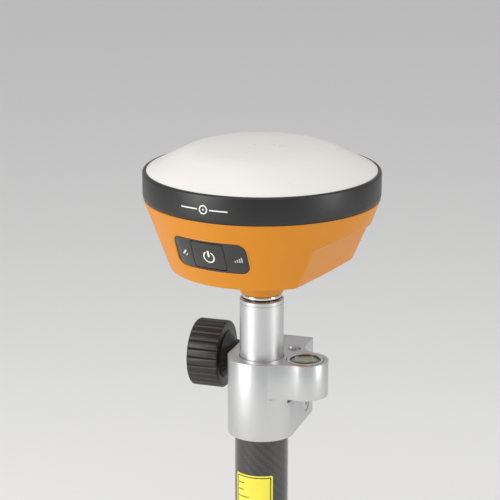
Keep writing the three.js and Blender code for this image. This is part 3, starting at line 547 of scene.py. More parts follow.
clamp = prism("clamp", collar_outline(True), lobe_bottom, clamp_high.z)
combine(clamp, "UNION", prism("lower_part", collar_outline(False), clamp_low.z, lobe_bottom))
slit_plan = [(0, 0)] + arc(0, 0, 90 * mm, 90 - 113, 90 + 113, 12)
inner_tube_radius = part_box("inner_tube")[1].x
bore_gap = 0.3 * mm
seat_radius = 12.9 * mm
seat_depth = 8 * mm
screw_hole = 4.3 * mm
nut_corner = (6.5 / math.cos(math.pi / 6) + 0.3) * mm
nut_pocket = 7 * mm
head_hole = 6.9 * mm
head_pocket = 8.6 * mm
grub_x, grub_y = 17.4 * mm, 19.4 * mm
combine(
    clamp, "DIFFERENCE",
    rod("tube_bore", inner_tube_radius + bore_gap, (0, 0, slit_bottom - 5 * mm), (0, 0, rim), 160),
    rod("carbon_bore", tube_radius + bore_gap, (0, 0, 0), (0, 0, slit_bottom - 0.2 * mm), 160),
    block("ear_split", (-1.8 * mm, 0, 0), (1.8 * mm, 90 * mm, rim)),
    prism("slit", slit_plan, slit_bottom, slit_top),
    rod("level_seat", seat_radius, (lobe_x, 0, clamp_high.z - seat_depth), (lobe_x, 0, rim), 128),
    rod("knob_hole", screw_hole, (-60 * mm, screw_y, knob_z), (60 * mm, screw_y, knob_z)),
    rod("jaw_hole", screw_hole, (-60 * mm, screw_y, jaw_screw_z), (60 * mm, screw_y, jaw_screw_z)),
    rod("knob_nut_pocket", nut_corner, (ear_side - nut_pocket, screw_y, knob_z),
        (60 * mm, screw_y, knob_z), 6),
    rod("jaw_nut_pocket", nut_corner, (-60 * mm, screw_y, jaw_screw_z),
        (nut_pocket - ear_side, screw_y, jaw_screw_z), 6),
    rod("jaw_head_pocket", head_hole, (ear_side - head_pocket, screw_y, jaw_screw_z),
        (60 * mm, screw_y, jaw_screw_z)),
    rod("grub_hole", 4.5 * mm, (grub_x, grub_y, clamp_high.z - 12 * mm), (grub_x, grub_y, rim)),
)
turn_about_pole(clamp)
soften(clamp, 0.3 * mm)
fit(clamp, "pole", "anodised_aluminium", satin_aluminium, "clamp_body")


# ---------------------------------------------------------------- clamp screws

# Socket-head screw for the lower jaw, hexagon nuts in their pockets, and the blackened set screw in
# the top face. The steel is turned, with bright broken edges.

bright_steel = painted("turned_bright_steel", 8 * mm, "#c4c5c8", "#d4d5d7", 0.16, 0.26,
                       (0.3 * mm, 0.1, 0.02 * mm), Metallic=1.0)


def hexagon(name, corner, start, end):
    return rod(name, corner, start, end, 6)


jaw_screw = rod("jaw_screw_bar", 6.5 * mm, (ear_side - 8.3 * mm, screw_y, jaw_screw_z),
                (ear_side - 0.4 * mm, screw_y, jaw_screw_z))
combine(jaw_screw, "UNION", rod("shank", 4 * mm, (1 * mm - ear_side, screw_y, jaw_screw_z),
                                (ear_side - 8 * mm, screw_y, jaw_screw_z)))
combine(jaw_screw, "DIFFERENCE", hexagon("key_socket", 3.5 * mm, (ear_side - 4.5 * mm, screw_y, jaw_screw_z),
                                         (ear_side + 1 * mm, screw_y, jaw_screw_z)))
turn_about_pole(jaw_screw)
soften(jaw_screw, 0.3 * mm)
fit(jaw_screw, "pole", "steel", bright_steel, "jaw_screw")

nut_size = 6.5 * mm / math.cos(math.pi / 6)
for name, node, start, end, height in (
        ("knob_nut_piece", "knob_nut", ear_side - 6.7 * mm, ear_side - 0.2 * mm, knob_z),
        ("jaw_nut_piece", "jaw_nut", 0.2 * mm - ear_side, 6.7 * mm - ear_side, jaw_screw_z)):
    nut = hexagon(name, nut_size, (start, screw_y, height), (end, screw_y, height))
    combine(nut, "DIFFERENCE", rod("thread", screw_hole, (start - mm, screw_y, height),
                                   (end + mm, screw_y, height)))
    turn_about_pole(nut)
    soften(nut, 0.35 * mm)
    fit(nut, "pole", "steel", bright_steel, node)

black_steel = painted("blackened_steel", 4 * mm, "#1c1b1a", "#2b2a29", 0.35, 0.5, Metallic=0.8)
grub = rod("set_screw", 4.2 * mm, (grub_x, grub_y, clamp_high.z - 11.5 * mm),
           (grub_x, grub_y, clamp_high.z - 3 * mm))
combine(grub, "DIFFERENCE", hexagon("key_socket", 2.2 * mm, (grub_x, grub_y, clamp_high.z - 6.5 * mm),
                                    (grub_x, grub_y, clamp_high.z)))
turn_about_pole(grub)
soften(grub, 0.25 * mm)
fit(grub, "pole", "black_nylon", black_steel, "grub_screw")


# ---------------------------------------------------------------- circular level

# Bull's-eye level: a bright turned cup pressed in the lobe, a clear domed vial over yellow-green
# liquid, a printed ring, and the bubble resting under the dome's highest point.

level_x = lobe_x * math.cos(clamp_turn)
level_y = lobe_x * math.sin(clamp_turn)
level_top = clamp_high.z
cup_radius = seat_radius - 0.3 * mm
cup_wall = 2.2 * mm


def on_level(name, outline, steps=96, shift=(0, 0)):
    """Spins an outline round the level's own upright axis, or round one shifted from it."""
    piece = turned(name, outline, steps)
    piece.data.transform(Matrix.Translation((level_x + shift[0], level_y + shift[1], 0)))
    return piece


cup = on_level("level_cup_ring", [
    (0, level_top - 7.7 * mm), (cup_radius, level_top - 7.7 * mm), (cup_radius, level_top),
    (cup_radius - 0.3 * mm, level_top + 0.3 * mm), (cup_radius - cup_wall + 0.5 * mm, level_top + 0.3 * mm),
    (cup_radius - cup_wall, level_top - 0.2 * mm), (cup_radius - cup_wall, level_top - 6 * mm),
    (0, level_top - 6 * mm),
], 128)
smooth(cup)
fit(cup, "pole", "steel", bright_steel, "level_cup")

vial_radius = cup_radius - cup_wall - 0.15 * mm
liquid_top = level_top - 2.4 * mm
liquid = on_level("level_liquid", [
    (0, level_top - 5.8 * mm), (vial_radius, level_top - 5.8 * mm), (vial_radius, liquid_top),
    (0, liquid_top),
])
smooth(liquid)
# Spirit tinted yellow-green against a pale backing, with painted shade that darkens it towards the wall of
# the vial.
level_spirit, shader = new_material("tinted_spirit", Coat_Weight=1.0, Coat_Roughness=0.03)
place = add_node(level_spirit, "ShaderNodeTexCoord")
centred = add_node(level_spirit, "ShaderNodeMapping", {"Vector": place.outputs["Object"]})
centred.inputs["Location"].default_value = (-level_x, -level_y, -liquid_top)
reach = add_node(level_spirit, "ShaderNodeVectorMath", {0: centred.outputs["Vector"]}, operation="LENGTH")
spread = number(level_spirit, "DIVIDE", reach.outputs["Value"], vial_radius)
# Painted shade: the ramp darkens the spirit from the middle out to the wall of the vial.
spirit_shade_ramp = add_node(level_spirit, "ShaderNodeValToRGB", {"Fac": spread})
spirit_shade_ramp.color_ramp.elements[0].color = linear("#a79f63")
spirit_shade_ramp.color_ramp.elements[1].color = linear("#4d4726")
spirit_shade_ramp.color_ramp.elements[0].position = 0.35
join_socket(level_spirit, spirit_shade_ramp.outputs["Color"], shader, "Base Color")
shader.inputs["Roughness"].default_value = 0.25
fit(liquid, "pole", "clear_acrylic", level_spirit, "level_vial")

level_ink = painted("level_ink", 2 * mm, "#1a1810", "#242216", 0.3, 0.4)
target = on_level("level_target", [
    (4.0 * mm, liquid_top + 0.02 * mm), (4.4 * mm, liquid_top + 0.02 * mm),
    (4.4 * mm, liquid_top + 0.06 * mm), (4.0 * mm, liquid_top + 0.06 * mm),
])
fit(target, "pole", "clear_acrylic", level_ink)

bubble_glass = painted("bubble_skin", 2 * mm, "#cfc993", "#ded9ac", 0.05, 0.08,
                       IOR=1.36, Coat_Weight=1.0)
bubble = on_level("level_bubble", [(0, liquid_top)] + [
    (3.1 * mm * math.cos(angle), liquid_top + 0.75 * mm * math.sin(angle))
    for angle in (i * math.pi / 16 for i in range(8))] + [(0, liquid_top + 0.75 * mm)],
    64, (0.9 * mm, -0.6 * mm))
smooth(bubble, 60)
fit(bubble, "pole", "clear_acrylic", bubble_glass)

dome_glass, shader = new_material("vial_glass", IOR=1.49, Roughness=0.02, Transmission_Weight=1.0)
shader.inputs["Base Color"].default_value = linear("#f1f0dc")
dome_bottom = liquid_top + 0.9 * mm
dome_outline = [(0, dome_bottom), (vial_radius, dome_bottom)]
dome_outline += [(vial_radius * math.cos(angle), dome_bottom + 0.25 * mm + 1.0 * mm * math.sin(angle))
                 for angle in (i * math.pi / 24 for i in range(12))]
dome_outline.append((0, dome_bottom + 1.25 * mm))
dome = on_level("level_dome", dome_outline)
smooth(dome, 60)
fit(dome, "pole", "clear_acrylic", dome_glass)


# ---------------------------------------------------------------- clamp knob

# Moulded black knob with shallow flutes round its grip, a dished outer face with a plain cap, and a
# hub that presses a steel washer on the ear. Its M8 screw crosses both ears to the nut.

knob_radius = 23.8 * mm
grip_near = 35.8 * mm
grip_far = 58.6 * mm
washer_near = 23.3 * mm
washer_far = 25.5 * mm
flutes = 24


def onto_knob_axis(piece):
    """Lays a piece turned about Z on the knob's axis, its height becoming the distance outwards."""
    piece.data.transform(Matrix.Rotation(-math.pi / 2, 4, "Y"))
    piece.data.transform(Matrix.Translation((0, screw_y, knob_z)))
    turn_about_pole(piece)


fluted = []
for i in range(flutes * 12):
    angle = 2 * math.pi * i / (flutes * 12)
    wave = abs(math.cos(angle * flutes / 2)) ** 0.5
    radius = knob_radius - 1.1 * mm * (1 - wave)
    fluted.append((radius * math.cos(angle), radius * math.sin(angle)))
knob = prism("knob", fluted, grip_near, grip_far)
# A turned blank of the same size rounds the ends of the flutes.
rounding = 2.2 * mm
blank = turned("knob_blank", [(0, grip_near)] + [
    (knob_radius - 1.6 * mm + 1.6 * mm * math.sin(a), grip_near + 1.6 * mm - 1.6 * mm * math.cos(a))
    for a in (i * math.pi / 12 for i in range(7))] + [
    (knob_radius - rounding + rounding * math.cos(a), grip_far - rounding + rounding * math.sin(a))
    for a in (i * math.pi / 12 for i in range(7))] + [(0, grip_far)], 192)
combine(knob, "INTERSECT", blank)
dish = turned("dish", [
    (0, grip_far + mm), (knob_radius - 3.2 * mm, grip_far + mm),
    (knob_radius - 3.4 * mm, grip_far - 0.3 * mm), (knob_radius - 4.6 * mm, grip_far - 3 * mm),
    (11 * mm, grip_far - 5.4 * mm), (0, grip_far - 5.4 * mm),
], 96)
combine(knob, "DIFFERENCE", dish)
hub = turned("hub", [
    (0, washer_far + 0.3 * mm), (10 * mm, washer_far + 0.3 * mm), (10.5 * mm, washer_far + 0.8 * mm),
    (11.5 * mm, grip_near - 5 * mm), (17 * mm, grip_near - 0.6 * mm), (17 * mm, grip_near + 2 * mm),
    (0, grip_near + 2 * mm),
], 96)
combine(knob, "UNION", hub)
combine(knob, "DIFFERENCE", rod("screw_bore", 4.3 * mm, (0, 0, 0), (0, 0, grip_far - 12 * mm)))
onto_knob_axis(knob)
smooth(knob, 38)
fit(knob, "clamp_knob", "black_nylon", black_nylon, "clamp_knob")

cap = turned("knob_cap", [
    (0, grip_far - 5.3 * mm), (8.5 * mm, grip_far - 5.3 * mm), (8.5 * mm, grip_far - 4.2 * mm),
    (8 * mm, grip_far - 3.7 * mm), (5 * mm, grip_far - 3.4 * mm), (0, grip_far - 3.3 * mm),
], 64)
onto_knob_axis(cap)
smooth(cap)
cap_plastic = painted("glossy_black_cap", 9 * mm, "#191817", "#201f1e", 0.24, 0.32)
fit(cap, "clamp_knob", "black_nylon", cap_plastic)


def screw_thread(name, crest, root, pitch, bottom, turns):
    """A helical ridge with a 60 degree profile, wound round Z."""
    half = (crest - root) * math.tan(math.radians(30))
    sunk = root - 0.1 * mm
    piece = closed_line(name, [(sunk, 0, bottom - half), (crest, 0, bottom - 0.1 * pitch),
                               (crest, 0, bottom + 0.1 * pitch), (sunk, 0, bottom + half)])
    bpy.ops.mesh.edge_face_add()
    bpy.ops.object.mode_set(mode="OBJECT")
    winding = piece.modifiers.new("winding", "SCREW")
    winding.axis = "Z"
    winding.angle = 2 * math.pi
    winding.screw_offset = pitch
    winding.iterations = turns
    winding.steps = 40
    winding.render_steps = 40
    winding.use_merge_vertices = False
    bpy.ops.object.modifier_apply(modifier=winding.name)
    bpy.ops.object.mode_set(mode="EDIT")
    close_up()
    return piece


screw_end = -ear_side + 1 * mm
bolt = turned("knob_screw_bar", [
    (0, screw_end), (3.0 * mm, screw_end), (3.4 * mm, screw_end + 0.6 * mm),
    (3.4 * mm, grip_far - 12.3 * mm),
    (0, grip_far - 12.3 * mm),
], 48)
thread_length = grip_near - screw_end - 3 * mm
thread = screw_thread("knob_screw_thread", 4 * mm, 3.4 * mm, 1.25 * mm, screw_end + 1.2 * mm,
                      int(thread_length / (1.25 * mm)))
for piece in (bolt, thread):
    onto_knob_axis(piece)
    smooth(piece)
fit(bolt, "clamp_knob", "steel", bright_steel, "knob_screw")
fit(thread, "clamp_knob", "steel", bright_steel)

washer = turned("knob_washer_ring", [
    (4.3 * mm, washer_near), (11.2 * mm, washer_near), (11.5 * mm, washer_near + 0.3 * mm),
    (11.5 * mm, washer_far - 0.3 * mm), (11.2 * mm, washer_far), (4.3 * mm, washer_far),
], 96)
onto_knob_axis(washer)
smooth(washer)
fit(washer, "knob_washer", "steel", bright_steel, "thrust_washer")


# ---------------------------------------------------------------- sliding tube and survey stud

# Satin aluminium tube that slides in the clamp, with a turned line near its top. The steel plug in
# its end carries the survey stud that the receiver screws on.

low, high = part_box("inner_tube")
slide_tube = turned("slide_tube", [
    (inner_tube_radius - 1.5 * mm, low.z), (inner_tube_radius - 0.3 * mm, low.z),
    (inner_tube_radius, low.z + 0.3 * mm), (inner_tube_radius, high.z - 3.2 * mm),
    (inner_tube_radius - 0.35 * mm, high.z - 3.0 * mm), (inner_tube_radius - 0.35 * mm, high.z - 2.8 * mm),
    (inner_tube_radius, high.z - 2.6 * mm), (inner_tube_radius, high.z - 0.5 * mm),
    (inner_tube_radius - 0.5 * mm, high.z), (inner_tube_radius - 1.5 * mm, high.z),
])
smooth(slide_tube)
fit(slide_tube, "inner_pole", "anodised_aluminium", satin_aluminium, "inner_tube")

low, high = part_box("pole_stud")
tube_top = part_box("inner_tube")[1].z
stud_crest = 7.9 * mm
stud_root = 6.7 * mm
survey_pitch = 25.4 * mm / 11
stud = turned("survey_stud", [
    (0, low.z), (13.2 * mm, low.z), (13.2 * mm, tube_top - 0.3 * mm), (12.9 * mm, tube_top),
    (stud_root, tube_top), (stud_root, high.z - 1 * mm), (stud_root - 1 * mm, high.z), (0, high.z),
], 96)
stud_thread = screw_thread("survey_stud_thread", stud_crest, stud_root, survey_pitch, tube_top + 1.6 * mm,
                           int((high.z - tube_top - 3 * mm) / survey_pitch))
for piece in (stud, stud_thread):
    smooth(piece)
fit(stud, "inner_pole", "steel", bright_steel, "pole_stud")
fit(stud_thread, "inner_pole", "steel", bright_steel)


# ---------------------------------------------------------------- neck ring, washer and insert

# Polished steel ring under the housing's neck, a thin nylon washer that stays on the stud, and the
# brass insert moulded in the neck.

low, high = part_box("neck_ring")
ring_outer = high.x
neck_ring = turned("polished_neck_ring", [
    (8.4 * mm, low.z), (ring_outer - 0.6 * mm, low.z), (ring_outer - 0.18 * mm, low.z + 0.18 * mm),
    (ring_outer, low.z + 0.6 * mm), (ring_outer, high.z - 0.6 * mm),
    (ring_outer - 0.18 * mm, high.z - 0.18 * mm), (ring_outer - 0.6 * mm, high.z), (8.4 * mm, high.z),
])
smooth(neck_ring, 50)
# Polished stainless steel: near mirror, with only faint turning lines.
polished_steel = painted("polished_stainless_steel", 10 * mm, "#d0d0d1", "#dededf", 0.05, 0.1,
                         Metallic=1.0)
fit(neck_ring, "receiver", "steel", polished_steel, "neck_ring")

low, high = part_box("neck_washer")
neck_washer = turned("neck_washer_ring", [
    (8.3 * mm, low.z), (high.x - 0.1 * mm, low.z), (high.x, low.z + 0.15 * mm),
    (high.x - 0.1 * mm, high.z), (8.3 * mm, high.z),
], 96)
smooth(neck_washer)
fit(neck_washer, "neck_washer", "black_nylon", black_nylon, "neck_washer")

machined_brass = painted("machined_brass", 6 * mm, "#b08d4a", "#c4a25e", 0.24, 0.34,
                         (0.3 * mm, 0.15, 0.02 * mm), Metallic=1.0)
repaint(machined_brass, "thread_insert", "battery_contacts")


# ---------------------------------------------------------------- lower housing

# Injection-moulded orange ABS shell: a cone with two sides cut away for the hands, a cove above
# each cut, a flat floor and the neck. Its outside is finely textured and its edges are soft.

housing_low, housing_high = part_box("lower_housing")
cone_top_radius = housing_high.x
cone_top = rim - 18.9 * mm
cone_bottom_radius = 61.8 * mm
floor_z = rim - 66.4 * mm
cone_slope = (cone_top_radius - cone_bottom_radius) / (cone_top - floor_z)
cone_angle = math.atan(cone_slope)
wall = 2.8 * mm
spigot = 77.2 * mm
skirt_inner = 74.5 * mm
neck_radius = 14.8 * mm
cavity_floor = floor_z + 3.4 * mm


def cone_radius(z):
    return cone_top_radius + cone_slope * (z - cone_top)


edge_round = 1.8 * mm
housing_outline = [(spigot - 0.3 * mm, housing_high.z), (spigot, housing_high.z - 0.3 * mm),
                   (spigot, cone_top), (cone_top_radius - 0.3 * mm, cone_top)]
cone_rows = 52
cone_end = floor_z + 1.4 * mm
for i in range(cone_rows + 1):
    z = cone_top - 0.3 * mm + (cone_end - cone_top + 0.3 * mm) * i / cone_rows
    housing_outline.append((cone_radius(z), z))
# The lower edge is an arc that leaves the cone's side smoothly and ends level with the floor.
edge_start = math.degrees(cone_angle)
centre_r = cone_radius(cone_end) - edge_round * math.cos(cone_angle)
centre_z = floor_z + edge_round
housing_outline += arc(centre_r, centre_z, edge_round, -edge_start, -90, 9)[1:]
for i in range(1, 10):
    housing_outline.append((centre_r + (20 * mm - centre_r) * i / 10, floor_z - 1.2 * mm * i / 10))
housing_outline += arc(20.5 * mm, floor_z - 7 * mm, 5.7 * mm, 90, 180, 7)
housing_outline += [(neck_radius, rim - 84.9 * mm), (neck_radius - 0.3 * mm, rim - 85.6 * mm),
                    (neck_radius - 1 * mm, housing_low.z)]
insert_bore = 11.8 * mm
housing_outline += [(insert_bore, housing_low.z), (insert_bore, rim - 63.8 * mm), (6 * mm, rim - 63.8 * mm),
                    (6 * mm, cavity_floor), (30 * mm, cavity_floor), (44 * mm, cavity_floor)]
inner_bottom = cone_radius(cavity_floor) - wall * 1.06 - 2 * mm
housing_outline.append((inner_bottom, cavity_floor))
for i in range(1, 14):
    share = i / 14
    housing_outline.append((inner_bottom + (skirt_inner - inner_bottom) * share,
                            cavity_floor + (cone_top - cavity_floor) * share))
housing_outline += [(skirt_inner, cone_top), (skirt_inner, housing_high.z)]
housing = turned("housing", housing_outline, 320)

cut_floor = 48.5 * mm
crease_x = 60.5 * mm
crease_z = rim - 39.3 * mm
cut_slope = (crease_x - cut_floor) / (crease_z - floor_z)
cove_slope = 0.5
cut_bulge = 900 * mm


def soft_limit(a, b, blend):
    """The smaller of two numbers, rounded over where they cross; a negative blend keeps the larger."""
    sign = 1 if blend > 0 else -1
    blend = abs(blend)
    overlap = max(blend - abs(a - b), 0) / blend
    return sign * (min(sign * a, sign * b) - overlap ** 2 * blend / 4)


def side_reach(z, depth):
    """How far from the axis a cut side lies at a height, at a depth below its face."""
    flat = cut_floor - depth + cut_slope * (z - floor_z)
    cove = crease_x - depth + (z - crease_z - depth) / cove_slope
    reach = soft_limit(flat, cove, -2.5 * mm)
    above = z - floor_z
    if depth == 0 and above < edge_round:
        above = max(above, 0)
        reach -= edge_round - math.sqrt(edge_round ** 2 - (edge_round - above) ** 2)
    return reach


for vertex in housing.data.vertices:
    radius = math.hypot(vertex.co.x, vertex.co.y)
    share = abs(vertex.co.x) / radius if radius else 0
    if share < 0.3 or radius < 30 * mm or vertex.co.z > cone_top:
        continue
    inside = vertex.co.z > cavity_floor - 0.1 * mm and radius < cone_radius(vertex.co.z) - 1.4 * mm
    across = radius * math.sqrt(1 - share ** 2)
    reach = side_reach(vertex.co.z, wall if inside else 0) + 0.5 * mm - across ** 2 / (2 * cut_bulge)
    kept = soft_limit(radius, reach / share, 0.8 * mm)
    vertex.co.x *= kept / radius
    vertex.co.y *= kept / radius

window_half = 27 * mm
window_top = rim - 32.1 * mm
window_bottom = rim - 54.4 * mm
window_z = (window_top + window_bottom) / 2
window_height = window_top - window_bottom
window_corner = 6.3 * mm


def side_frame(azimuth, slope, place):
    """Axes of a place on a sloping side: X along it, Y outwards and Z up the slope."""
    radial = Vector((math.cos(azimuth), math.sin(azimuth), 0))
    up = Vector((0, 0, 1))
    along = Vector((math.sin(azimuth), -math.cos(azimuth), 0))
    outward = radial * math.cos(slope) - up * math.sin(slope)
    climb = radial * math.sin(slope) + up * math.cos(slope)
    axes = Matrix((along, outward, climb)).transposed().to_4x4()
    return Matrix.Translation(place) @ axes


def window_tool(name, shrink, half=None, height=None, corner=None):
    """A bar with the window's outline, pushed out through the front wall."""
    half = (half or window_half) - shrink
    height = (height or window_height) - 2 * shrink
    outline = rounded_rectangle(2 * half, height, (corner or window_corner) - shrink, 0, window_z, 10)
    return sheet_shape(name, outline, 95 * mm)


door_frame = side_frame(math.pi / 2, cone_angle, (0, cone_radius(window_z), window_z))


def door_tool(name, shrink):
    """A bar with the door's outline, square to the sloping face behind."""
    height = window_height / math.cos(cone_angle) - 2 * shrink
    bar = sheet_shape(name, rounded_rectangle(2 * (window_half - shrink), height,
                                              window_corner - shrink, steps=10), 50 * mm)
    bar.data.transform(door_frame @ Matrix.Translation((0, 20 * mm, 0)))
    return bar


port_z = rim - 53.5 * mm
cut_angle = math.atan(cut_slope)
port_frame = side_frame(math.pi, cut_angle, (-(cut_floor + cut_slope * (port_z - floor_z)), 0, port_z))


def port_block(name, half_width, half_height, corner, depth, top):
    """A rounded block in the port's axes, from a depth to a height above the cut side."""
    piece = sheet_shape(name, rounded_rectangle(2 * half_width, 2 * half_height, corner, steps=5),
                        depth - top)
    piece.data.transform(Matrix.Translation((0, depth, 0)))
    piece.data.transform(port_frame)
    bpy.context.view_layer.objects.active = piece
    bpy.ops.object.mode_set(mode="EDIT")
    close_up()
    return piece


screw_ring = 51.5 * mm
screw_places = [(screw_ring * math.cos(math.radians(a)), screw_ring * math.sin(math.radians(a)))
                for a in (45, 135, 225, 315)]
combine(housing, "DIFFERENCE", window_tool("panel_window", 0), door_tool("door_window", 0),
        port_block("cap_recess", 10.3 * mm, 5.9 * mm, 2 * mm, -1.7 * mm, 4 * mm),
        port_block("port_hole", 7.5 * mm, 3.9 * mm, 1.6 * mm, -8 * mm, 1 * mm))
for x, y in screw_places:
    combine(housing, "DIFFERENCE",
            rod("head_recess", 3.6 * mm, (x, y, floor_z - 3 * mm), (x, y, floor_z + 2.2 * mm), 40),
            rod("screw_hole", 1.9 * mm, (x, y, floor_z - 3 * mm), (x, y, cavity_floor + 3 * mm), 32))
soften(housing, 0.5 * mm, 3, 40)

# Orange ABS: dyed in the mass and spark-textured in the mould, so it is a warm even orange with a
# soft sheen and a fine grain of about half a millimetre.
orange_abs = painted("orange_textured_abs", 35 * mm, "#c97c00", "#d18406", 0.36, 0.44,
                     (0.6 * mm, 0.22, 0.08 * mm), IOR=1.46)
fit(housing, "receiver", "housing_orange", orange_abs, "lower_housing")

# A thin rolled lip of the same plastic stands round the panel's window, half sunk in the face.
lip_radius = 0.6 * mm
lip_path = rounded_rectangle(2 * window_half + lip_radius, window_height + lip_radius, window_corner, 0,
                             window_z, 10)
lip_points = []
for (x, z), (next_x, next_z) in zip(lip_path, lip_path[1:] + lip_path[:1]):
    pieces = max(1, round(math.hypot(next_x - x, next_z - z) / mm))
    for i in range(pieces):
        lip_points.append((x + (next_x - x) * i / pieces, z + (next_z - z) * i / pieces))
closed_line("window_lip", [(x, -math.sqrt((cone_radius(z) - lip_radius / 2) ** 2 - x ** 2), z)
                           for x, z in lip_points])
bpy.ops.object.mode_set(mode="OBJECT")
bpy.ops.object.convert(target="CURVE")
bpy.context.object.data.bevel_depth = lip_radius
bpy.context.object.data.bevel_resolution = 3
bpy.ops.object.convert(target="MESH")
lip = bpy.context.object
smooth(lip, 60)
fit(lip, "receiver", "housing_orange", orange_abs)


# ---------------------------------------------------------------- data port and cap

# Socket in a tinned shell deep in the left side, and the rubber cap pressed in the recess over it,
# with a ridge along its lower edge for a fingernail.

cap_cover = port_block("port_cap_cover", 10 * mm, 5.6 * mm, 1.8 * mm, -1.4 * mm, 0.5 * mm)
cap_plug = port_block("cap_plug", 6.6 * mm, 2.8 * mm, 1.2 * mm, -2.6 * mm, -1.2 * mm)
cap_ridge = block("cap_ridge", (-4 * mm, 0.3 * mm, -5 * mm), (4 * mm, 1.4 * mm, -3.8 * mm))
cap_ridge.data.transform(port_frame)
combine(cap_cover, "UNION", cap_plug, cap_ridge)
soften(cap_cover, 0.35 * mm, 3)
# Moulded rubber: near black, matt, faintly greyed by handling.
black_rubber = painted("black_moulded_rubber", 25 * mm, "#121111", "#1a1919", 0.34, 0.42,
                       (0.5 * mm, 0.25, 0.06 * mm), IOR=1.52)
fit(cap_cover, "port_cap", "band_rubber", black_rubber, "port_cap")

# Tinned sheet: a soft grey metal with cloudy, slightly uneven gloss.
tinned_sheet = painted("tinned_sheet", 7 * mm, "#a9a9a4", "#bdbdb8", 0.25, 0.4, Metallic=1.0)
repaint(tinned_sheet, "data_port", "antenna_amplifier_can", "gnss_module_can", "radio_module_can",
        "wireless_module_can")


# ---------------------------------------------------------------- electronics inside the head

# Main board with screened modules on an aluminium chassis ring, antenna patches over their ground
# plane, and the small parts behind the key panel. All of it is hidden behind the shell.

# Green solder mask over copper: even and glossy, a little lighter over the copper areas.
solder_mask = painted("green_solder_mask", 5 * mm, "#164a2d", "#1f6540", 0.3, 0.4,
                      Coat_Weight=0.5, Coat_Roughness=0.1)
repaint(solder_mask, "main_board", "panel_board")
# Fired microwave ceramic: matt, cream white.
fired_ceramic = painted("fired_ceramic", 10 * mm, "#d8d1c0", "#e2dccd", 0.45, 0.55)
repaint(fired_ceramic, "antenna_lower_patch", "antenna_upper_patch")
# Silicone rubber: dark grey and dull, with a slight bloom.
grey_silicone = painted("grey_silicone", 9 * mm, "#474745", "#525250", 0.5, 0.62)
repaint(grey_silicone, "radome_seal", "key_pad", "door_gasket")
# Clear acrylic light guides.
clear_acrylic, shader = new_material("clear_acrylic", IOR=1.49, Roughness=0.05, Transmission_Weight=0.9)
shader.inputs["Base Color"].default_value = linear("#eceadf")
repaint(clear_acrylic, "light_guide_left", "light_guide_right")
repaint(satin_aluminium, "chassis_frame", "ground_plane")
repaint(black_nylon, "buzzer", "battery_tub")


# ---------------------------------------------------------------- housing screws

# Four stainless screws with hexagon sockets, sunk in the housing's floor and threaded in the
# chassis posts.

for i, (x, y) in enumerate(screw_places, 1):
    head_low = floor_z + 0.3 * mm
    screw = rod(f"floor_screw_{i}", 3 * mm, (x, y, head_low), (x, y, floor_z + 1.9 * mm), 48)
    combine(screw, "UNION", rod("shank", 1.5 * mm, (x, y, floor_z + 1.4 * mm),
                                (x, y, cavity_floor + 9.3 * mm), 32))
    combine(screw, "DIFFERENCE", hexagon("key_socket", 1.4 * mm, (x, y, head_low - mm),
                                         (x, y, head_low + 1 * mm)))
    soften(screw, 0.15 * mm)
    fit(screw, "receiver", "steel", bright_steel, f"housing_screw_{i}")


# ---------------------------------------------------------------- key panel

# Dark glossy film on a moulded plate that follows the cone, with the power key flush between two
# thin dark gaps and a symbol printed on each third.

plate_depth = 0.25 * mm
plate_thickness = 2.5 * mm
key_half = 11.9 * mm
key_half_height = 9.2 * mm


def cone_shell(name, outer_depth, inner_depth):
    """A ring that follows the cone between two depths below its face."""
    lower, upper = window_bottom - 8 * mm, window_top + 8 * mm
    outer_step, inner_step = outer_depth / math.cos(cone_angle), inner_depth / math.cos(cone_angle)
    return turned(name, [
        (cone_radius(lower) - inner_step, lower), (cone_radius(lower) - outer_step, lower),
        (cone_radius(upper) - outer_step, upper), (cone_radius(upper) - inner_step, upper)], 288)


plate = cone_shell("key_panel", plate_depth, plate_depth + plate_thickness)
combine(plate, "INTERSECT", window_tool("plate_outline", 0.3 * mm))
combine(plate, "DIFFERENCE", window_tool("key_gap", 0, key_half + 0.12 * mm,
                                         2 * key_half_height + 0.8 * mm, 1.6 * mm))
soften(plate, 0.25 * mm, 3)
# Hard-coated film: a very dark olive grey with a soft gloss.
panel_film = painted("dark_panel_film", 20 * mm, "#181815", "#1f1f1b", 0.22, 0.3,
                     Coat_Weight=0.4, Coat_Roughness=0.12)
fit(plate, "receiver", "panel_black", panel_film, "panel_plate")

key = cone_shell("power_key_cap", plate_depth, plate_depth + plate_thickness)
combine(key, "INTERSECT", window_tool("key_outline", 0, key_half - 0.1 * mm,
                                      2 * key_half_height - 0.2 * mm, 1.5 * mm))
soften(key, 0.25 * mm, 3)
fit(key, "power_key", "panel_black", panel_film, "power_key")

# Pale green-white ink over the clear windows for the lamps; the bars are greyer.
pale_ink = painted("pale_symbol_ink", 3 * mm, "#dbe3d0", "#e6ecdc", 0.35, 0.42)
grey_ink = painted("grey_symbol_ink", 3 * mm, "#a5aaa0", "#b0b5aa", 0.35, 0.42)
symbol_z = rim - 44 * mm


def press_on_cone(piece, depth):
    """Lays a flat sheet on the cone's front; its own Y is kept as depth from the face."""
    for vertex in piece.data.vertices:
        reach = cone_radius(vertex.co.z) - depth / math.cos(cone_angle) - vertex.co.y
        vertex.co.y = -math.sqrt(reach ** 2 - vertex.co.x ** 2)


def symbol(name, outline, body, ink):
    """One printed shape of a symbol, 0.06 mm proud of the panel."""
    piece = sheet_shape(name, outline, 0.06 * mm, spacing=0.8 * mm)
    press_on_cone(piece, plate_depth)
    fit(piece, body, "panel_black", ink)


def turned_bar(x, z, width, height, degrees):
    """Corners of a bar turned about its centre."""
    turn = Matrix.Rotation(math.radians(degrees), 2)
    corners = [(-width / 2, -height / 2), (width / 2, -height / 2), (width / 2, height / 2),
               (-width / 2, height / 2)]
    return [(x + (turn @ Vector(c))[0], z + (turn @ Vector(c))[1]) for c in corners]


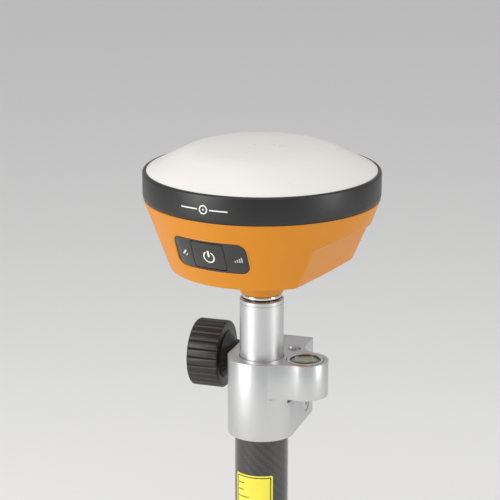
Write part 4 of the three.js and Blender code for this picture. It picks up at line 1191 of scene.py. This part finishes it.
# Satellite: a body with two wings, turned half upright, and a short signal arc below it.
satellite_x = -19 * mm
for i, (along, width, height) in enumerate(((0, 1.1, 1.3), (1.5, 1.4, 1.0), (-1.5, 1.4, 1.0))):
    slant = math.radians(45)
    symbol(f"satellite_{i}", turned_bar(satellite_x + along * mm * math.cos(slant),
                                        symbol_z + 0.4 * mm + along * mm * math.sin(slant),
                                        width * mm, height * mm, 45), "receiver", pale_ink)
symbol("satellite_signal", arc(satellite_x, symbol_z + 0.2 * mm, 2.5 * mm, 285, 345, 8)
       + arc(satellite_x, symbol_z + 0.2 * mm, 2.0 * mm, 345, 285, 8), "receiver", pale_ink)

# Power: an open ring with an upright bar in its gap.
symbol("power_ring", arc(0.6 * mm, symbol_z, 4.2 * mm, 120, 420, 48)
       + arc(0.6 * mm, symbol_z, 3.3 * mm, 420, 120, 48), "power_key", pale_ink)
symbol("power_bar", rounded_rectangle(1.5 * mm, 4.6 * mm, 0.3 * mm, 0.6 * mm, symbol_z + 2.3 * mm, 3),
       "power_key", pale_ink)

# Signal strength: four bars that grow to the right.
for i in range(4):
    height = (1.2 + 0.8 * i) * mm
    symbol(f"signal_bar_{i}", turned_bar((18.6 + 1.4 * i) * mm, symbol_z - 1.8 * mm + height / 2,
                                         0.9 * mm, height, 0), "receiver", grey_ink)


# ---------------------------------------------------------------- battery pack

# Rechargeable pack that slides in the tub: a shrink-wrapped block with rounded edges, pressed on the
# brass contacts at the tub's far end.

pack_low, pack_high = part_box("battery_pack")
pack = sheet_shape("battery", rounded_rectangle(pack_high.x - pack_low.x, pack_high.z - pack_low.z, 2.5 * mm,
                                                0, (pack_low.z + pack_high.z) / 2), pack_high.y - pack_low.y)
pack.data.transform(Matrix.Translation((0, pack_high.y, 0)))
soften(pack, 0.8 * mm, 3)
# Heat-shrunk sleeve: dark blue-black PVC with a gentle sheen.
shrink_sleeve = painted("shrink_sleeve", 14 * mm, "#16181d", "#1f2229", 0.3, 0.42)
fit(pack, "receiver", "black_nylon", shrink_sleeve, "battery_pack")


# ---------------------------------------------------------------- battery door

# Moulded cover over the battery bay, flush with the cone. It swings on a pin through three knuckles
# on its left and is held shut by a quarter-turn stud on its right; three grooves give the fingers grip.

hinge_x = -28.6 * mm
hinge_frame = side_frame(math.pi / 2, cone_angle, (
    hinge_x, math.sqrt(cone_radius(window_z) ** 2 - hinge_x ** 2), window_z))
stud_x = 22.6 * mm
stud_azimuth = math.pi / 2 - math.asin(stud_x / cone_radius(window_z))
stud_frame = side_frame(stud_azimuth, cone_angle, (
    cone_radius(window_z) * math.cos(stud_azimuth), cone_radius(window_z) * math.sin(stud_azimuth),
    window_z))
barrel_lift = 2.2 * mm
barrel = 1.6 * mm
knuckle = 4 * mm


def framed(piece, axes):
    piece.data.transform(axes)
    return piece


def hinge_rod(name, radius, start, end):
    return framed(rod(name, radius, (0, barrel_lift, start), (0, barrel_lift, end), 48), hinge_frame)


door = cone_shell("bay_door", 0, plate_thickness)
combine(door, "INTERSECT", door_tool("door_outline", 0.3 * mm))
combine(door, "UNION", framed(block("arm", (0, 0.9 * mm, -knuckle), (5 * mm, 2.8 * mm, knuckle)),
                              hinge_frame), hinge_rod("door_barrel", barrel, -knuckle, knuckle))
combine(door, "DIFFERENCE", hinge_rod("pin_bore", 1 * mm, -20 * mm, 20 * mm),
        framed(rod("stud_hole", 3.5 * mm, (0, -10 * mm, 0), (0, 10 * mm, 0), 64), stud_frame))
for i in range(3):
    low_z, high_z = window_z - 6 * mm + i * 6 * mm - 0.5 * mm, window_z - 6 * mm + i * 6 * mm + 0.5 * mm
    groove = cone_shell(f"groove_{i}", -0.5 * mm, 0.5 * mm)
    combine(groove, "INTERSECT", block("span", (-14 * mm, 0, low_z), (10 * mm, 90 * mm, high_z)))
    combine(door, "DIFFERENCE", groove)
soften(door, 0.2 * mm)
fit(door, "battery_door", "black_nylon", black_nylon, "battery_door")

for i, (start, end) in enumerate(((-2 * knuckle - 0.3 * mm, -knuckle - 0.3 * mm),
                                  (knuckle + 0.3 * mm, 2 * knuckle + 0.3 * mm)), 1):
    holder = hinge_rod(f"hinge_barrel_{i}", barrel, start, end)
    combine(holder, "UNION", framed(block("arm", (-2.6 * mm, -2.4 * mm, start), (0, 2.8 * mm, end)),
                                    hinge_frame))
    combine(holder, "DIFFERENCE", hinge_rod("pin_bore", 1 * mm, -20 * mm, 20 * mm))
    soften(holder, 0.25 * mm)
    fit(holder, "receiver", "housing_orange", orange_abs)

pin = hinge_rod("hinge_pin", 0.7 * mm, -2 * knuckle, 2 * knuckle)
soften(pin, 0.15 * mm)
fit(pin, "receiver", "steel", bright_steel, "door_hinge_pin")

coin_stud = framed(rod("coin_stud", 3.2 * mm, (0, -plate_thickness, 0), (0, 0.7 * mm, 0), 64), stud_frame)
combine(coin_stud, "UNION", framed(rod("shank", 1.6 * mm, (0, -5.75 * mm, 0), (0, -1 * mm, 0), 48),
                                   stud_frame))
combine(coin_stud, "DIFFERENCE", framed(block("slot", (-2.6 * mm, 0.1 * mm, -0.5 * mm),
                                              (2.6 * mm, 2 * mm, 0.5 * mm)), stud_frame))
soften(coin_stud, 0.2 * mm)
fit(coin_stud, "door_stud", "steel", bright_steel, "door_stud")


# ---------------------------------------------------------------- bumper band

# Rubber band moulded over the joint of the two shells. Its face is upright, its top edge rolls over
# to the radome and its lower lip tapers; one reference mark is printed on it over the key panel.

band_low, band_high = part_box("bumper_band")
band_radius = band_high.x - 0.1 * mm
band_inner = 77.6 * mm
band_outline = [(band_inner, band_low.z), (band_radius - 0.9 * mm, band_low.z),
                (band_radius - 0.6 * mm, band_low.z + 0.25 * mm), (band_radius, band_low.z + 2.6 * mm),
                (band_radius, rim - 6 * mm), (band_radius, rim - 2.2 * mm)]
band_outline += arc(band_radius - 1.6 * mm, rim - 1.8 * mm, 1.6 * mm, 14, 90, 8)
band_outline.append((band_inner, rim - 0.1 * mm))
band = turned("rubber_band", band_outline, 320)
smooth(band, 50)
fit(band, "receiver", "band_rubber", black_rubber, "bumper_band")

# Reference mark: a dash, a small circle and a dash, the usual way to show the antenna's height line.
white_ink = painted("white_mark_ink", 4 * mm, "#dcdcda", "#ecebe8", 0.4, 0.5)
mark_z = rim - 10 * mm
mark_line = 0.8 * mm
mark_middle = math.radians(-90 + 1.7)
mark_shapes = [
    rounded_rectangle(12.6 * mm, mark_line, 0.2 * mm, -10.6 * mm, mark_z, 3),
    rounded_rectangle(12.6 * mm, mark_line, 0.2 * mm, 10.6 * mm, mark_z, 3),
    arc(0, mark_z, 3 * mm, 0, 359, 48) + arc(0, mark_z, 2.2 * mm, 359, 0, 48),
    arc(0, mark_z, 0.6 * mm, 0, 345, 20),
]
for i, outline in enumerate(mark_shapes):
    mark = sheet_shape(f"height_mark_{i}", outline, 0.05 * mm, spacing=1 * mm)
    wrap_on_tube(mark, band_radius + 0.01 * mm, mark_middle)
    fit(mark, "receiver", "band_rubber", white_ink)


# ---------------------------------------------------------------- radome

# Off-white moulded dome over the antenna: a nearly flat crown, a rounder shoulder and a straight
# flank down to the band. It is semi-gloss, slightly greyed where hands and weather reach it.

radome_low, radome_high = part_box("radome")
crown_radius = 240 * mm
crown_edge = math.asin(41 / 240)
shoulder = 50 * mm
flank = math.radians(27)
radome_wall = 2.6 * mm
skirt_bore = 74.9 * mm
dome_profile = [(0, radome_high.z)]
for i in range(1, 25):
    angle = crown_edge * i / 24
    dome_profile.append((crown_radius * math.sin(angle),
                         radome_high.z - crown_radius * (1 - math.cos(angle))))
edge_r, edge_z = dome_profile[-1]
for i in range(1, 19):
    angle = crown_edge + (flank - crown_edge) * i / 18
    dome_profile.append((edge_r + shoulder * (math.sin(angle) - math.sin(crown_edge)),
                         edge_z + shoulder * (math.cos(angle) - math.cos(crown_edge))))
flank_r, flank_z = dome_profile[-1]
rim_r = 77.2 * mm
dome_profile += [(rim_r - 0.3 * mm, flank_z - (rim_r - 0.3 * mm - flank_r) * math.tan(flank)),
                 (rim_r, flank_z - (rim_r - flank_r) * math.tan(flank) - 0.2 * mm),
                 (rim_r, radome_low.z), (skirt_bore, radome_low.z), (skirt_bore, rim - radome_wall)]
dome_profile += [(r, z - radome_wall) for r, z in reversed(dome_profile[1:42:4])]
dome_profile.append((0, radome_high.z - radome_wall))
radome = turned("radome_shell", dome_profile, 320)
smooth(radome, 50)
# Off-white ASA: dyed in the mass, a soft gloss with slight handling marks.
white_asa = painted("off_white_asa", 28 * mm, "#dcd9d2", "#e4e1da", 0.27, 0.35,
                    (0.8 * mm, 0.1, 0.04 * mm), IOR=1.5)
fit(radome, "receiver", "radome_white", white_asa, "radome")
